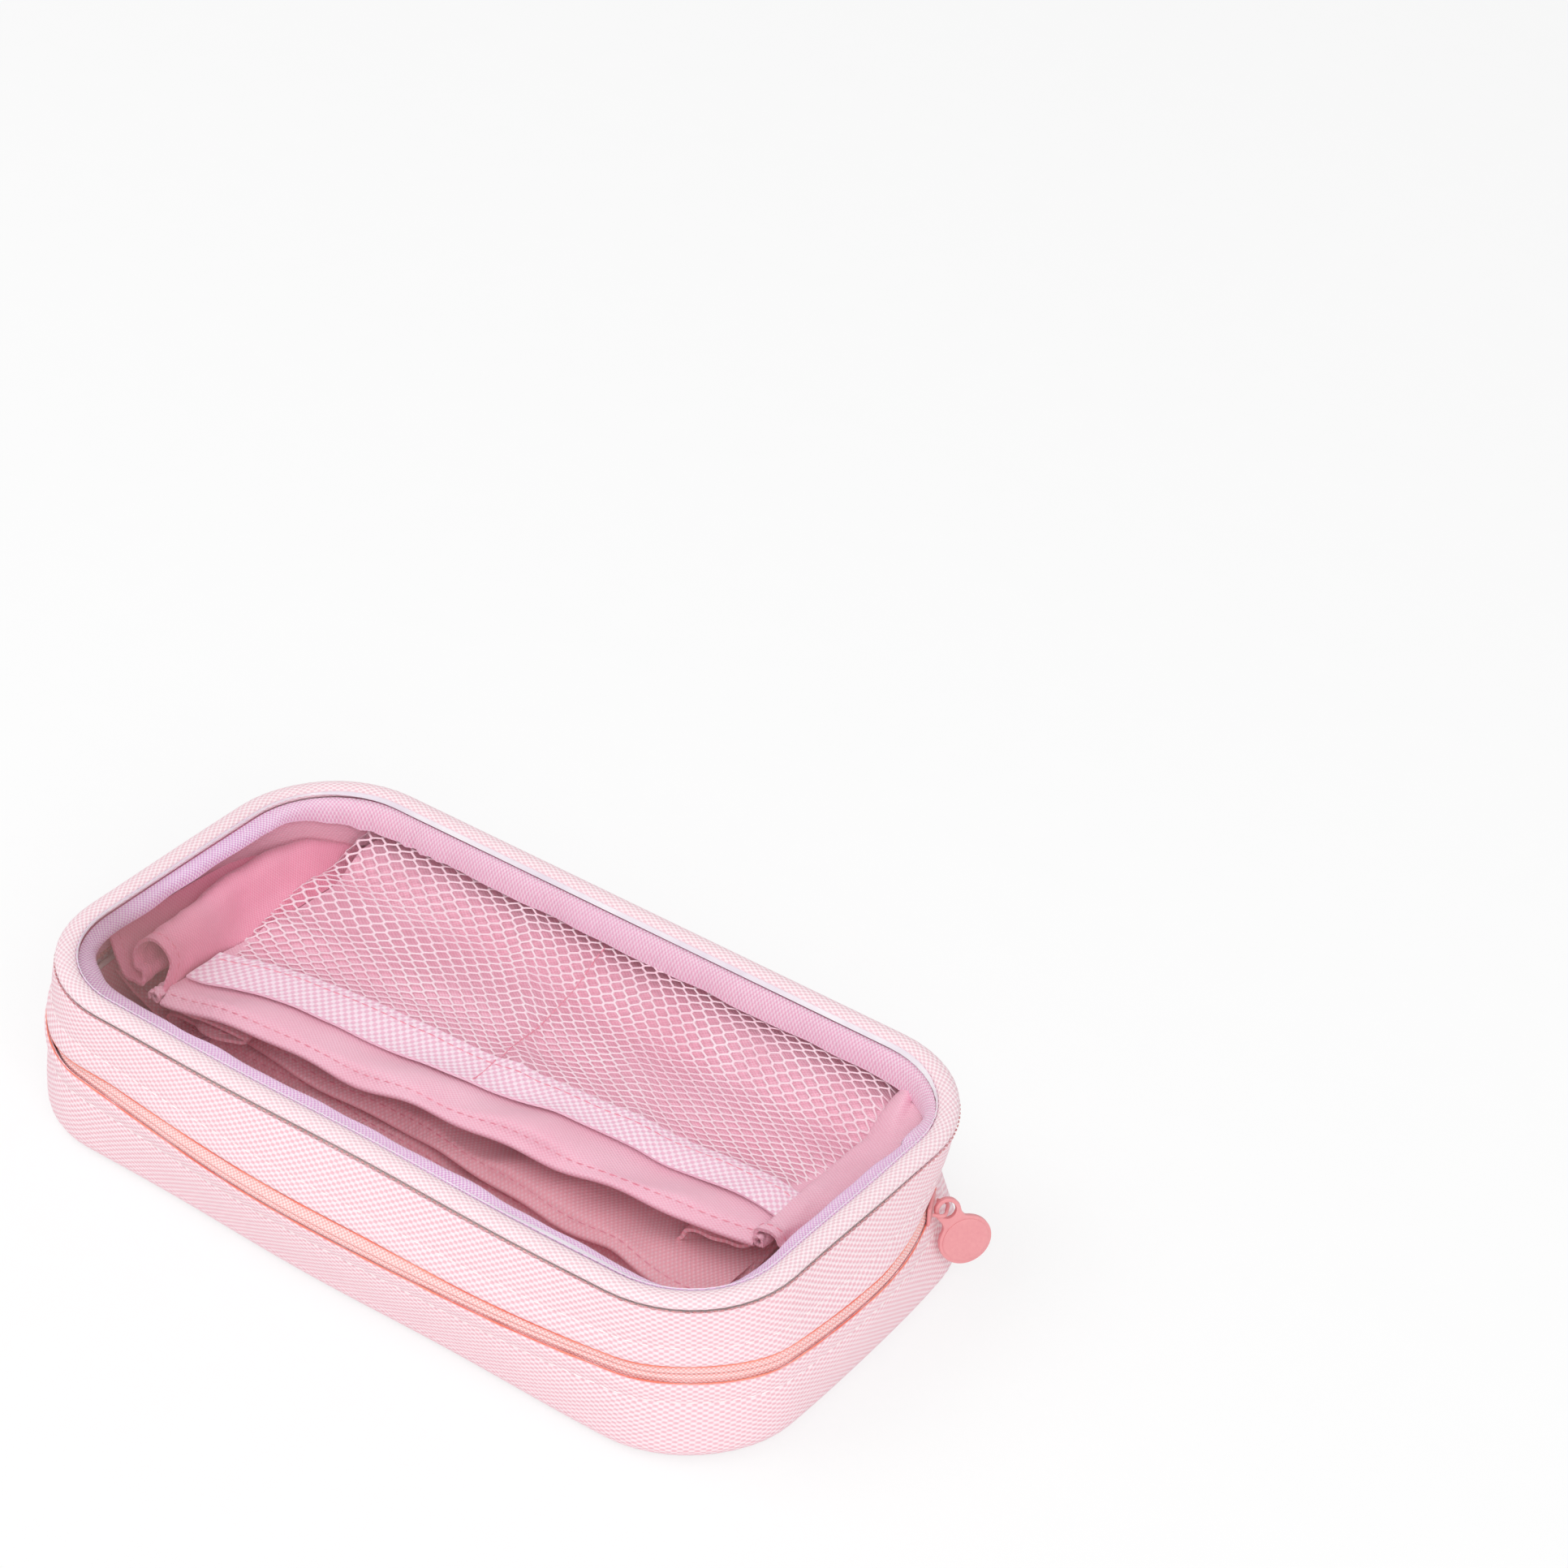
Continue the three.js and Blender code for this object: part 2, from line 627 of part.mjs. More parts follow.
// The cloth from the front divider's end, which sags and then climbs the base's end wall.
const baseClothShares = [0, 0.15, 0.3, 0.45, 0.6, 0.75, 0.88, 1];
function baseClothLine(reach) {
  const angle = degrees(restAngles[0]);
  const y = hingeDepth - reach * Math.cos(angle);
  const rimLift = (baseRim - clothRimDrop - hingeHeight - reach * Math.sin(angle)) / Math.cos(angle);
  const wall = endWall(y, baseRim - clothRimDrop, innerInset) - layerGap - clothThickness / 2;
  const outward = (reach - clothStart) / (dividerReach - clothStart);
  const sag = THREE.MathUtils.lerp(clothSagAtSpine, clothSagAtHem, outward);
  return baseClothShares.map((share) => {
    const x = THREE.MathUtils.lerp(clothEdge, wall, share);
    const rise = (rimLift + clothSeam) * share ** 2;
    return new THREE.Vector2(x, rise - clothSeam - sag * Math.sin(Math.PI * share));
  });
}

// The cloth between the mesh divider's end and the lid's end wall, which stands up in a roll. It is
// lower near the spine and has its full height from halfway out.
const rollShares = [[0, 0], [0.02, 0.4], [0.12, 0.78], [0.32, 1], [0.58, 0.96], [0.82, 0.74], [1, 0]];
const rollStartShare = 0.6;
const rollHeight = paneFoot - rollRoom - meshHem - clothSeam;
function lidClothLine(reach) {
  const angle = degrees(restAngles[2]);
  const y = hingeDepth - reach * Math.cos(angle);
  const wallHeight = hingeHeight + reach * Math.sin(angle) + rollWallHeight;
  const wall = endWall(y, wallHeight, innerInset) - 2 * layerGap - clothThickness / 2;
  const halfway = (clothStart + dividerReach) / 2;
  const outward = Math.min((reach - clothStart) / (halfway - clothStart), 1);
  const rise = rollHeight * THREE.MathUtils.lerp(rollStartShare, 1, outward);
  return rollShares.map(([out, up], index) => {
    const x = THREE.MathUtils.lerp(clothEdge, wall, out);
    const last = index === rollShares.length - 1;
    const lift = last ? rollWallHeight : clothSeam + up * rise;
    return new THREE.Vector2(x, lift);
  });
}

const lowPlane = (frontAngle + middleAngle) / 2;
const highPlane = (middleAngle + meshAngle) / 2;
const gussets = {
  base: cloth(frontAngle, baseClothLine),
  low_pleat: cloth(lowPlane, lowPleatLine),
  high_pleat: cloth(highPlane, highPleatLine),
  lid: cloth(meshAngle, lidClothLine)
};
for (const [word, geometry] of Object.entries(gussets)) {
  addPiece(`gusset_right_${word}`, geometry, liningPink, hingeLine);
  addPiece(`gusset_left_${word}`, mirrored(geometry), liningPink, hingeLine);
}

// The slider hugs the zip from both sides of the tape, and its bail stands outwards.
const wasm = await Module();
wasm.setup();

function toSolid(geometry) {
  const plain = geometry.clone();
  plain.deleteAttribute('normal');
  plain.deleteAttribute('uv');
  const merged = mergeVertices(plain);
  return new wasm.Manifold(new wasm.Mesh({
    numProp: 3,
    vertProperties: new Float32Array(merged.attributes.position.array),
    triVerts: new Uint32Array(merged.index.array)
  }));
}

function fromSolid(solid) {
  const mesh = solid.getMesh();
  const geometry = new THREE.BufferGeometry();
  geometry.setAttribute('position', new THREE.BufferAttribute(mesh.vertProperties, 3));
  geometry.setIndex(new THREE.BufferAttribute(mesh.triVerts, 1));
  geometry.computeVertexNormals();
  return geometry;
}

// A box between two corners, as reach out of the wall (X), along the zip (Y) and up (Z).
function block(low, high) {
  const size = high.clone().sub(low);
  const geometry = new THREE.BoxGeometry(size.x, size.y, size.z);
  const middle = low.clone().add(high).multiplyScalar(1 / 2);
  return geometry.translate(middle.x, middle.y, middle.z);
}

// Behind its crest the end wall bows like a circle, and the slider turns about its axis to travel.
const bowCrest = bowCrestShare * partingPlan.halfWidth;
const sliderDepth = partingPlan.halfWidth - partingCorner - sliderFromCorner;
const fromCrest = sliderDepth - bowCrest;
const drawnIn = sideBelly * (1 - bowAt(sliderDepth, partingPlan.halfWidth));
const travelRadius = (fromCrest ** 2 + drawnIn ** 2) / (2 * drawnIn);
const travelAxis = partingPlan.halfLength + sideBelly - travelRadius;
const travelAngle = Math.asin(fromCrest / travelRadius);

const track = new THREE.Group();
track.position.set(travelAxis, bowCrest, hingeHeight);
track.rotation.z = travelAngle;
pencilCase.add(track);
const slider = new THREE.Group();
slider.position.x = travelRadius;
track.add(slider);

// A slider plate, drawn as (along, up) with its narrow nose leading, stands against the wall.
function plateGeometry(depth) {
  const tail = -sliderLength / 2;
  const shoulder = sliderShoulder - sliderLength / 2;
  const tip = sliderLength / 2;
  const shape = new THREE.Shape([
    new THREE.Vector2(tail, -sliderWidth / 2),
    new THREE.Vector2(shoulder, -sliderWidth / 2),
    new THREE.Vector2(tip, -sliderNose / 2),
    new THREE.Vector2(tip, sliderNose / 2),
    new THREE.Vector2(shoulder, sliderWidth / 2),
    new THREE.Vector2(tail, sliderWidth / 2)
  ]);
  const geometry = new THREE.ExtrudeGeometry(shape, { depth, bevelEnabled: false });
  const along = new THREE.Vector3(0, 1, 0);
  const up = new THREE.Vector3(0, 0, 1);
  const out = new THREE.Vector3(1, 0, 0);
  return geometry.applyMatrix4(new THREE.Matrix4().makeBasis(along, up, out));
}

const plateTop = sliderLift + sliderPlate;
const bailTop = plateTop + bailRise;
const halfBail = bailLength / 2;
const halfBar = bailBar / 2;
const bailBlock = block(
  new THREE.Vector3(plateTop - halfBar, -halfBail, -halfBar),
  new THREE.Vector3(bailTop, halfBail, halfBar)
);
const bailHole = block(
  new THREE.Vector3(plateTop, bailBar - halfBail, -sliderWidth),
  new THREE.Vector3(bailTop - bailBar, halfBail - bailBar, sliderWidth)
);
const bail = toSolid(bailBlock).subtract(toSolid(bailHole));
const plate = toSolid(plateGeometry(sliderPlate).translate(sliderLift, 0, 0));
addPiece('slider_body', fromSolid(plate.add(bail)), tabCoral, slider);

const innerFoot = -(coilInner + sliderSlack + sliderInnerPlate);
const innerPlate = plateGeometry(sliderInnerPlate).translate(innerFoot, 0, 0);
addPiece('slider_inner_plate', innerPlate, tabCoral, slider);

// The pull tab hangs on the bail's bar, out and down, and is turned a little about its own length.
const swing = new THREE.Group();
swing.position.x = bailTop - halfBar;
swing.rotation.y = degrees(tabHang);
slider.add(swing);

function tabOutline(inset) {
  const loop = tabLoopRadius - inset;
  const neck = tabNeckWidth / 2 - inset;
  const discX = tabDiscHeight / 2 - inset;
  const discY = tabDiscWidth / 2 - inset;
  const points = [];
  const loopNeck = Math.asin(neck / loop);
  for (let step = 0; step <= roundSteps; step++) {
    const angle = loopNeck + (2 * Math.PI - 2 * loopNeck) * step / roundSteps;
    points.push(new THREE.Vector2(loop * Math.cos(angle), loop * Math.sin(angle)));
  }
  const discNeck = Math.asin(neck / discY);
  for (let step = 0; step <= roundSteps; step++) {
    const angle = Math.PI + discNeck + (2 * Math.PI - 2 * discNeck) * step / roundSteps;
    const x = tabReach + discX * Math.cos(angle);
    points.push(new THREE.Vector2(x, discY * Math.sin(angle)));
  }
  return points;
}

function tabGeometry() {
  const shape = new THREE.Shape(tabOutline(0));
  const hole = new THREE.Path();
  hole.absarc(0, 0, tabHoleRadius, 0, 2 * Math.PI, true);
  shape.holes.push(hole);
  const settings = { depth: tabThickness, bevelEnabled: false, curveSegments: roundSteps };
  const body = new THREE.ExtrudeGeometry(shape, settings).translate(0, 0, -tabThickness / 2);
  const across = tabDiscWidth / 2 - tabFaceInset;
  const long = tabDiscHeight / 2 - tabFaceInset;
  const face = new THREE.CylinderGeometry(1, 1, tabThickness + 2 * tabFaceStep, roundSteps);
  face.rotateX(Math.PI / 2).scale(long, across, 1).translate(tabReach, 0, 0);
  return fromSolid(toSolid(body).add(toSolid(face)));
}

const tab = addPiece('pull_tab', tabGeometry(), tabCoral, swing);
tab.position.x = tabHoleOffset;
tab.rotation.x = degrees(tabTwist);

export default pencilCase;
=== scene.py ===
"""The look of the shut expandable pencil case: canvas trays over foam, a coral zip, a clear window
with its piping and ribbon, and the lining cloth, net pocket and folds that lie inside."""
import math
import bmesh
import bpy
import numpy as np
from mathutils import Matrix, Vector
from mathutils.geometry import tessellate_polygon


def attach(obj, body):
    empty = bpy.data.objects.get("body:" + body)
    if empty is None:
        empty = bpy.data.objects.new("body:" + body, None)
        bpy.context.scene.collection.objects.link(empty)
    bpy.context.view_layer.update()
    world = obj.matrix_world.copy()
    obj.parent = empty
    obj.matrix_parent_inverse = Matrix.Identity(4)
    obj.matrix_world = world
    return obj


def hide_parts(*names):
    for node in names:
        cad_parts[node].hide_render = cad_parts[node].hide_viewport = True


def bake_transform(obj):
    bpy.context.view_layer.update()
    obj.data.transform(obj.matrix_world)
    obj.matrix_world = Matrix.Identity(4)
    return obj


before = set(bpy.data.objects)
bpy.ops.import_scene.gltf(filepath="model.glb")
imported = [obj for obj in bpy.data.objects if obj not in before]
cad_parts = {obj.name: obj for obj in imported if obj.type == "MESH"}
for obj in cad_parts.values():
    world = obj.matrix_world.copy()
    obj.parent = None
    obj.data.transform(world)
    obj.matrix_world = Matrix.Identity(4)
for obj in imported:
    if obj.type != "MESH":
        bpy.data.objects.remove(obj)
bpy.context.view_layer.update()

# Lengths below are in millimetres. A piece's points become metres as its mesh is made.
MM = 0.001


def add_object(name, data):
    thing = bpy.data.objects.new(name, data)
    bpy.context.scene.collection.objects.link(thing)
    return thing


# The camera looks down on the window from in front of the right-hand end. Angles are in degrees.
CAMERA_PLACE, CAMERA_LENS = (511.858, -620.383, 674.814), 98.757
CAMERA_TURN, CAMERA_TILT, CAMERA_ROLL = 34.9334, 34.8353, 2.7493


def place_camera():
    data = bpy.data.cameras.new("view")
    data.sensor_width, data.lens = 36, CAMERA_LENS
    stand = Matrix.Translation(Vector(CAMERA_PLACE) * MM)
    for angle, axis in ((CAMERA_TURN, "Z"), (90 - CAMERA_TILT, "X"), (CAMERA_ROLL, "Z")):
        stand = stand @ Matrix.Rotation(math.radians(angle), 4, axis)
    camera = add_object("view", data)
    camera.matrix_world = stand
    bpy.context.scene.camera = camera


place_camera()


def put(tree, kind, feeds=None, **settings):
    """Adds a node, sets its properties, and feeds its inputs from values, sockets or other nodes."""
    node = tree.nodes.new(kind)
    for name, value in settings.items():
        setattr(node, name, value)
    for key, feed in (feeds or {}).items():
        if isinstance(feed, bpy.types.Node):
            feed = feed.outputs[0]
        if isinstance(feed, bpy.types.NodeSocket):
            tree.links.new(feed, node.inputs[key])
        else:
            node.inputs[key].default_value = feed
    return node


def linear(colour):
    """An sRGB hex colour as linear red, green, blue and alpha."""
    parts = [int(colour[i:i + 2], 16) / 255 for i in (1, 3, 5)]
    return [c / 12.92 if c <= 0.04045 else ((c + 0.055) / 1.055) ** 2.4 for c in parts] + [1.0]


def new_finish(name):
    material = bpy.data.materials.new(name)
    material.use_nodes = True
    material.node_tree.nodes.clear()
    return material, material.node_tree


def woven_finish(name, gap, thread, pitch, depth, roughness, contrast, cloud, cloud_colour, sheen=0.0,
                 sheer=0.0, back=None):
    """Cloth whose threads pass over each other at a pitch in millimetres across and along its UV map.

    gap is the colour between the threads and thread the colour on their crowns, and contrast gives the
    heights at which each is full. depth is the crown's height in millimetres. The clouds are the slow
    change of tone that handling and dyeing leave. sheer is the share of the light that a thin cloth
    lets through. back gives the two colours that take over towards the back of the case."""
    material, tree = new_finish(name)
    uv = put(tree, "ShaderNodeSeparateXYZ", {0: put(tree, "ShaderNodeUVMap", uv_map="cloth")})
    waves = []
    for axis in (0, 1):
        turns = put(tree, "ShaderNodeMath", {0: uv.outputs[axis], 1: math.pi / pitch[axis]},
                    operation="MULTIPLY")
        waves.append(put(tree, "ShaderNodeMath", {0: turns}, operation="SINE"))
    crown = put(tree, "ShaderNodeMath", {0: waves[0], 1: waves[1]}, operation="MULTIPLY")
    place = put(tree, "ShaderNodeTexCoord").outputs["Object"]
    slub = put(tree, "ShaderNodeTexNoise", {"Vector": place, "Scale": 900.0, "Detail": 2.0})
    uneven = put(tree, "ShaderNodeMath", {0: slub.outputs[0], 1: 0.5, 2: crown}, operation="MULTIPLY_ADD")
    shown = put(tree, "ShaderNodeMapRange", {0: uneven, 1: contrast[0], 2: contrast[1]},
                interpolation_type="SMOOTHSTEP")
    weave = put(tree, "ShaderNodeMix", {0: shown, 6: linear(gap), 7: linear(thread)}, data_type="RGBA")
    if back:
        y = put(tree, "ShaderNodeSeparateXYZ", {0: place}).outputs[1]
        far = put(tree, "ShaderNodeMapRange", {0: y, 1: 0.015, 2: 0.05}, interpolation_type="SMOOTHSTEP")
        pinker = put(tree, "ShaderNodeMix", {0: shown, 6: linear(back[0]), 7: linear(back[1])},
                     data_type="RGBA")
        weave = put(tree, "ShaderNodeMix", {0: far, 6: weave.outputs[2], 7: pinker.outputs[2]},
                    data_type="RGBA")
    drift = put(tree, "ShaderNodeTexNoise", {"Vector": place, "Scale": 1000.0 / 30, "Detail": 3.0})
    clouded = put(tree, "ShaderNodeMapRange", {0: drift.outputs[0], 1: 0.35, 2: 0.7, 3: 0.0, 4: cloud})
    colour = put(tree, "ShaderNodeMix", {0: clouded, 6: weave.outputs[2], 7: linear(cloud_colour)},
                 data_type="RGBA").outputs[2]
    bump = put(tree, "ShaderNodeBump", {"Height": uneven, "Strength": 0.8, "Distance": depth * MM})
    shader = put(tree, "ShaderNodeBsdfPrincipled", {
        "Base Color": colour, "Roughness": roughness, "Normal": bump, "Sheen Weight": sheen})
    if sheer:
        through = put(tree, "ShaderNodeBsdfTranslucent", {0: colour, "Normal": bump})
        shader = put(tree, "ShaderNodeMixShader", {0: sheer, 1: shader, 2: through})
    put(tree, "ShaderNodeOutputMaterial", {0: shader})
    return material


def plain_finish(name, low, high, grain, roughness, depth, specular=0.5, alpha=1.0):
    """A moulded, foamed, spun or painted stuff with a fine grain of the given size in millimetres."""
    material, tree = new_finish(name)
    place = put(tree, "ShaderNodeTexCoord").outputs["Object"]
    fine = put(tree, "ShaderNodeTexNoise", {"Vector": place, "Scale": 1000.0 / grain, "Detail": 3.0})
    broad = put(tree, "ShaderNodeTexNoise", {"Vector": place, "Scale": 60.0, "Detail": 2.0})
    share = put(tree, "ShaderNodeMath", {0: fine.outputs[0], 1: 0.5, 2: broad.outputs[0]},
                operation="MULTIPLY_ADD")
    shade = put(tree, "ShaderNodeMapRange", {0: share, 1: 0.55, 2: 0.95})
    colour = put(tree, "ShaderNodeMix", {0: shade, 6: linear(low), 7: linear(high)}, data_type="RGBA")
    bump = put(tree, "ShaderNodeBump", {"Height": fine.outputs[0], "Strength": 0.5, "Distance": depth * MM})
    shader = put(tree, "ShaderNodeBsdfPrincipled", {
        "Base Color": colour.outputs[2], "Roughness": roughness, "Normal": bump,
        "Specular IOR Level": specular, "Alpha": alpha})
    put(tree, "ShaderNodeOutputMaterial", {0: shader})
    return material


# Polyester oxford, plain woven from thick yarn: pale crowns stand in staggered rows over pinker
# gaps. The real crowns are 0.93 by 0.54 mm apart, and are drawn 1.3 times coarser so that they show.
canvas = woven_finish("oxford_canvas_woven", "#F0BBC6", "#FCE9EE", (1.2, 0.7), 0.14, 0.86, (-0.35, 0.75),
                      0.10, "#F8DAE0", sheen=0.08)

# The same oxford pulled tight round a cord: it looks paler and greyer, and its rows lie closer.
piping_canvas = woven_finish("oxford_piping_woven", "#ECC5CE", "#FBEAEE", (1.0, 0.62), 0.12, 0.88,
                             (-0.35, 0.75), 0.10, "#F3DBDF", sheen=0.08)

# Polyester taffeta lining, woven and pressed: a soft silky gloss, and yarns almost too fine to see,
# drawn at twice their 0.3 mm.
satin = woven_finish("taffeta_lining_pressed", "#F6B4CB", "#FDD0E0", (0.6, 0.42), 0.05, 0.38,
                     (-0.55, 1.15), 0.35, "#F09CB6", sheen=0.2, sheer=0.04)

# The same lining in the roll at the left, coloured a deeper rose: painted shade, for the shadow that the roll
# lies in under the ribbon.
shaded_rose_satin = woven_finish("taffeta_lining_roll_painted_shade", "#F896B4", "#FFB4CC", (0.6, 0.42), 0.05, 0.36,
                          (-0.55, 1.15), 0.3, "#F48BA9", sheen=0.25, sheer=0.06)

# The same lining where it isn't pressed: its yarn shows as light dots on a deeper rose.
dotted_satin = woven_finish("taffeta_lining_loose", "#FCB8C6", "#FFD8E2", (0.62, 0.8), 0.08, 0.46,
                            (0.05, 1.15), 0.25, "#F9A6B8", sheen=0.15, sheer=0.12)

# Polyester ribbon, woven with a glossy weft that shows as rows of dots: lilac, and pinker where it
# hangs along the back.
grosgrain = woven_finish("ribbon_glossy_woven", "#E3A4DC", "#FDEAFB", (0.52, 0.6), 0.1, 0.42,
                         (-0.25, 0.75), 0.15, "#F2C9EC", sheen=0.15, back=("#F0B4D2", "#FDE6F3"))

# Polypropylene webbing in a basket weave: pale pink squares, matt and stiff. Its yarns are 0.8 mm
# apart, and are drawn 1.1 mm apart so that they show.
webbing = woven_finish("webbing_basket_woven", "#F2BDD4", "#FDE9F4", (1.1, 1.1), 0.14, 0.7,
                       (-0.25, 0.75), 0.12, "#F8CFE0")

# Woven polyester zip tape: salmon, with small light dots where the warp crosses.
zip_tape = woven_finish("zip_tape_woven", "#F9B2B0", "#FFE4E2", (0.55, 0.45), 0.1, 0.6, (-0.15, 0.75),
                        0.1, "#FAC0BA")

# Knitted polyester net: pale, slightly glossy strands.
net_yarn = plain_finish("polyester_net_knitted", "#F7D3E0", "#FDE8F0", 0.3, 0.5, 0.03)

# Nylon monofilament coil, drawn and heat-set: smooth, slightly clear coral.
zip_coil = plain_finish("nylon_coil_drawn", "#F4ABA9", "#FBC6C2", 0.5, 0.35, 0.01)

# Spun polyester sewing thread, white and rose: matt, with a fine twist. The orange-red cord is painted
# shadow: it lies along the zip's seams, where the canvas's folded edge shades the tape. The dim brownish
# rose of the stitches in the groove under the piping is painted shade from the piping over them.
white_thread = plain_finish("polyester_thread_white", "#FAEAEA", "#FFFAF9", 0.2, 0.6, 0.02)
rose_thread = plain_finish("polyester_thread_rose", "#EA89A1", "#F4A5B8", 0.2, 0.55, 0.02)
seam_shadow_cord = plain_finish("zip_seam_painted_shadow", "#F0705A", "#FFA48E", 0.5, 0.6, 0.04)
groove_shade_thread = plain_finish("polyester_thread_groove_painted_shade", "#C68083", "#E6B2B1", 1.6, 0.8, 0.06)

# Polyethylene foam, cut from sheet: white and dry, with small cells.
foam = plain_finish("polyethylene_foam_cut", "#E9E4E1", "#F7F4F1", 0.6, 0.9, 0.10, specular=0.3)

# Polypropylene board, extruded: white with a faint haircell grain.
board = plain_finish("polypropylene_board_extruded", "#E8E8E8", "#F4F4F4", 0.4, 0.5, 0.03)

# Die-cast zinc, painted in matt salmon: even colour with a faint orange peel.
painted_zinc = plain_finish("zinc_die_cast_painted", "#E29398", "#E9A0A3", 0.7, 0.48, 0.02, specular=0.4)

# The window's film where it is folded double at the seam: milky white with a soft gloss. Where the edge is
# drawn wider, its white also stands for the glare on the film: painted highlight.
milky_film = plain_finish("pvc_window_edge_folded", "#F1E9F3", "#FDFAFE", 6.0, 0.25, 0.1, alpha=0.7)


# Clear soft PVC sheet, calendered: almost unseen, with shallow crinkles that bend the highlights, and
# a reddish grey patch near the left-hand corner that is a painted reflection of a broad lamp.
def window_finish():
    material, tree = new_finish("pvc_window_calendered")
    place = put(tree, "ShaderNodeTexCoord").outputs["Object"]
    # Round this place the film's alpha rises and shows its reddish grey: painted reflection.
    reflection_spot = Vector((-92, -38, 43)) * MM
    away = put(tree, "ShaderNodeVectorMath", {0: place, 1: reflection_spot}, operation="DISTANCE").outputs["Value"]
    near = put(tree, "ShaderNodeMapRange", {0: away, 1: 0.04, 2: 0.008}, interpolation_type="SMOOTHSTEP")
    reflection_breakup = put(tree, "ShaderNodeTexNoise", {"Vector": place, "Scale": 30.0, "Detail": 2.0})
    painted_reflection = put(tree, "ShaderNodeMath", {0: near, 1: reflection_breakup.outputs[0]}, operation="MULTIPLY")
    alpha = put(tree, "ShaderNodeMapRange", {0: painted_reflection, 1: 0.0, 2: 0.6, 3: 0.03, 4: 0.2})
    crinkle = put(tree, "ShaderNodeTexNoise", {"Vector": place, "Scale": 55.0, "Detail": 2.0,
                                               "Distortion": 0.6})
    bump = put(tree, "ShaderNodeBump", {"Height": crinkle.outputs[0], "Strength": 0.6, "Distance": 0.0012})
    shader = put(tree, "ShaderNodeBsdfPrincipled", {
        "Base Color": linear("#A27A74"), "Roughness": 0.12, "IOR": 1.53, "Normal": bump, "Alpha": alpha})
    put(tree, "ShaderNodeOutputMaterial", {0: shader})
    return material


window_film = window_finish()


def smooth_step(low, high, value):
    """0 below low, 1 above high, and a smooth rise between."""
    share = np.clip((np.asarray(value, float) - low) / (high - low), 0, 1)
    return share * share * (3 - 2 * share)


def between(low, high, share):
    return low + (high - low) * share


def full_turn(count):
    return np.linspace(0, 2 * math.pi, count, endpoint=False)


def settle(points):
    """Shifts points by up to a third of a millimetre, as sewn and stuffed walls are never quite true.

    The shift changes slowly with place, so layers stay nested, and dies away at the slider and along
    the spine, where the parts turn past each other."""
    x, y, z = points.T
    give = (1 - np.exp(-((x - 105) ** 2 + (y - 28) ** 2) / 500)) * (1 - smooth_step(42, 53, y))
    sway = 0.32 * np.sin(y / 11.3 + z / 17 + 0.6) * np.sin(x / 23.7 + 1.1)
    push = 0.34 * np.sin(x / 13.9 + z / 21 + 2.2) * np.sin(y / 31.1 + 0.4)
    lift = 0.22 * np.sin(x / 19.3 + 0.9) * np.sin(y / 24.7 + 1.7) * np.clip(z / 20, 0, 1)
    return points + np.stack([sway * give, push * give, lift * give], axis=1)


def add_piece(name, points, faces, corners, material, sharp, settled=True):
    """Makes one closed piece from points in millimetres, with its cloth UV map in millimetres."""
    points = np.asarray(points, float).reshape(-1, 3)
    if settled:
        points = settle(points)
    mesh = bpy.data.meshes.new(name)
    mesh.from_pydata((points * MM).tolist(), [], faces)
    cloth = mesh.uv_layers.new(name="cloth")
    cloth.data.foreach_set("uv", np.concatenate([np.ravel(face) for face in corners]))
    mesh.materials.append(material)
    solid = bmesh.new()
    solid.from_mesh(mesh)
    if solid.calc_volume(signed=True) < 0:
        bmesh.ops.reverse_faces(solid, faces=solid.faces)
    solid.to_mesh(mesh)
    solid.free()
    mesh.shade_smooth()
    mesh.set_sharp_from_angle(angle=math.radians(sharp))
    return add_object(name, mesh)


def dress(piece, body, node=None):
    """Sets the body that a piece rides, and the CAD node that it stands for."""
    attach(piece, body)
    if node:
        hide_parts(node)
    return piece


def running_sum(lengths):
    return np.concatenate([[0], np.cumsum(lengths)])


def whole_threads(lengths, thread):
    """Lengths from 0 along a closed ring, stretched a little so that it holds whole pairs of threads."""
    total = running_sum(lengths)
    pairs = max(round(total[-1] / (2 * thread)), 1)
    return total * pairs * 2 * thread / total[-1]


def grid_faces(rows, count, us, spans, swap=False):
    """Quads over rows of count points, and their UV corners.

    us holds the columns' places and spans each row of quads' first and last place. Where they go on
    past the last column or row, the grid closes on itself."""
    faces, corners = [], []
    for row, (low, high) in enumerate(spans):
        here, there = row * count, (row + 1) % rows * count
        for i in range(len(us) - 1):
            j = (i + 1) % count
            faces.append((here + i, here + j, there + j, there + i))
            box = [(us[i], low), (us[i + 1], low), (us[i + 1], high), (us[i], high)]
            corners.append([(v, u) for u, v in box] if swap else box)
    return faces, corners


def ring_shell(name, rings, material, capped=False, thread=1.2, swap=False, sharp=50, settled=True):
    """A skin over a row of rings. The row closes on itself, or its first and last rings are capped."""
    rings = np.asarray(rings, float)
    rows, count = rings.shape[:2]
    steps = np.linalg.norm(np.roll(rings, -1, axis=1) - rings, axis=2)
    rises = np.linalg.norm(np.roll(rings, -1, axis=0) - rings, axis=2)
    us = whole_threads(steps.mean(axis=0), thread)
    vs = running_sum(rises.mean(axis=1)[:rows - capped])
    faces, corners = grid_faces(rows, count, us, list(zip(vs[:-1], vs[1:])), swap)
    if capped:
        for row, order in ((0, range(count)[::-1]), (rows - 1, range(count))):
            faces.append(tuple(row * count + i for i in order))
            corners.append([tuple(rings[row, i, :2]) for i in order])
    return add_piece(name, rings, faces, corners, material, sharp, settled)


def sheet_normals(sheet, wrap):
    """Unit normals of a grid of points. A wrapped grid closes on itself along its columns."""
    padded = np.concatenate([sheet[:, -1:], sheet, sheet[:, :1]], axis=1) if wrap else sheet
    along = np.gradient(padded, axis=1)
    normals = np.cross(along[:, 1:-1] if wrap else along, np.gradient(sheet, axis=0))
    return normals / np.maximum(np.linalg.norm(normals, axis=2, keepdims=True), 1e-9)


# How wide the rim of a slab is on its UV map.
RIM_UV = 0.3


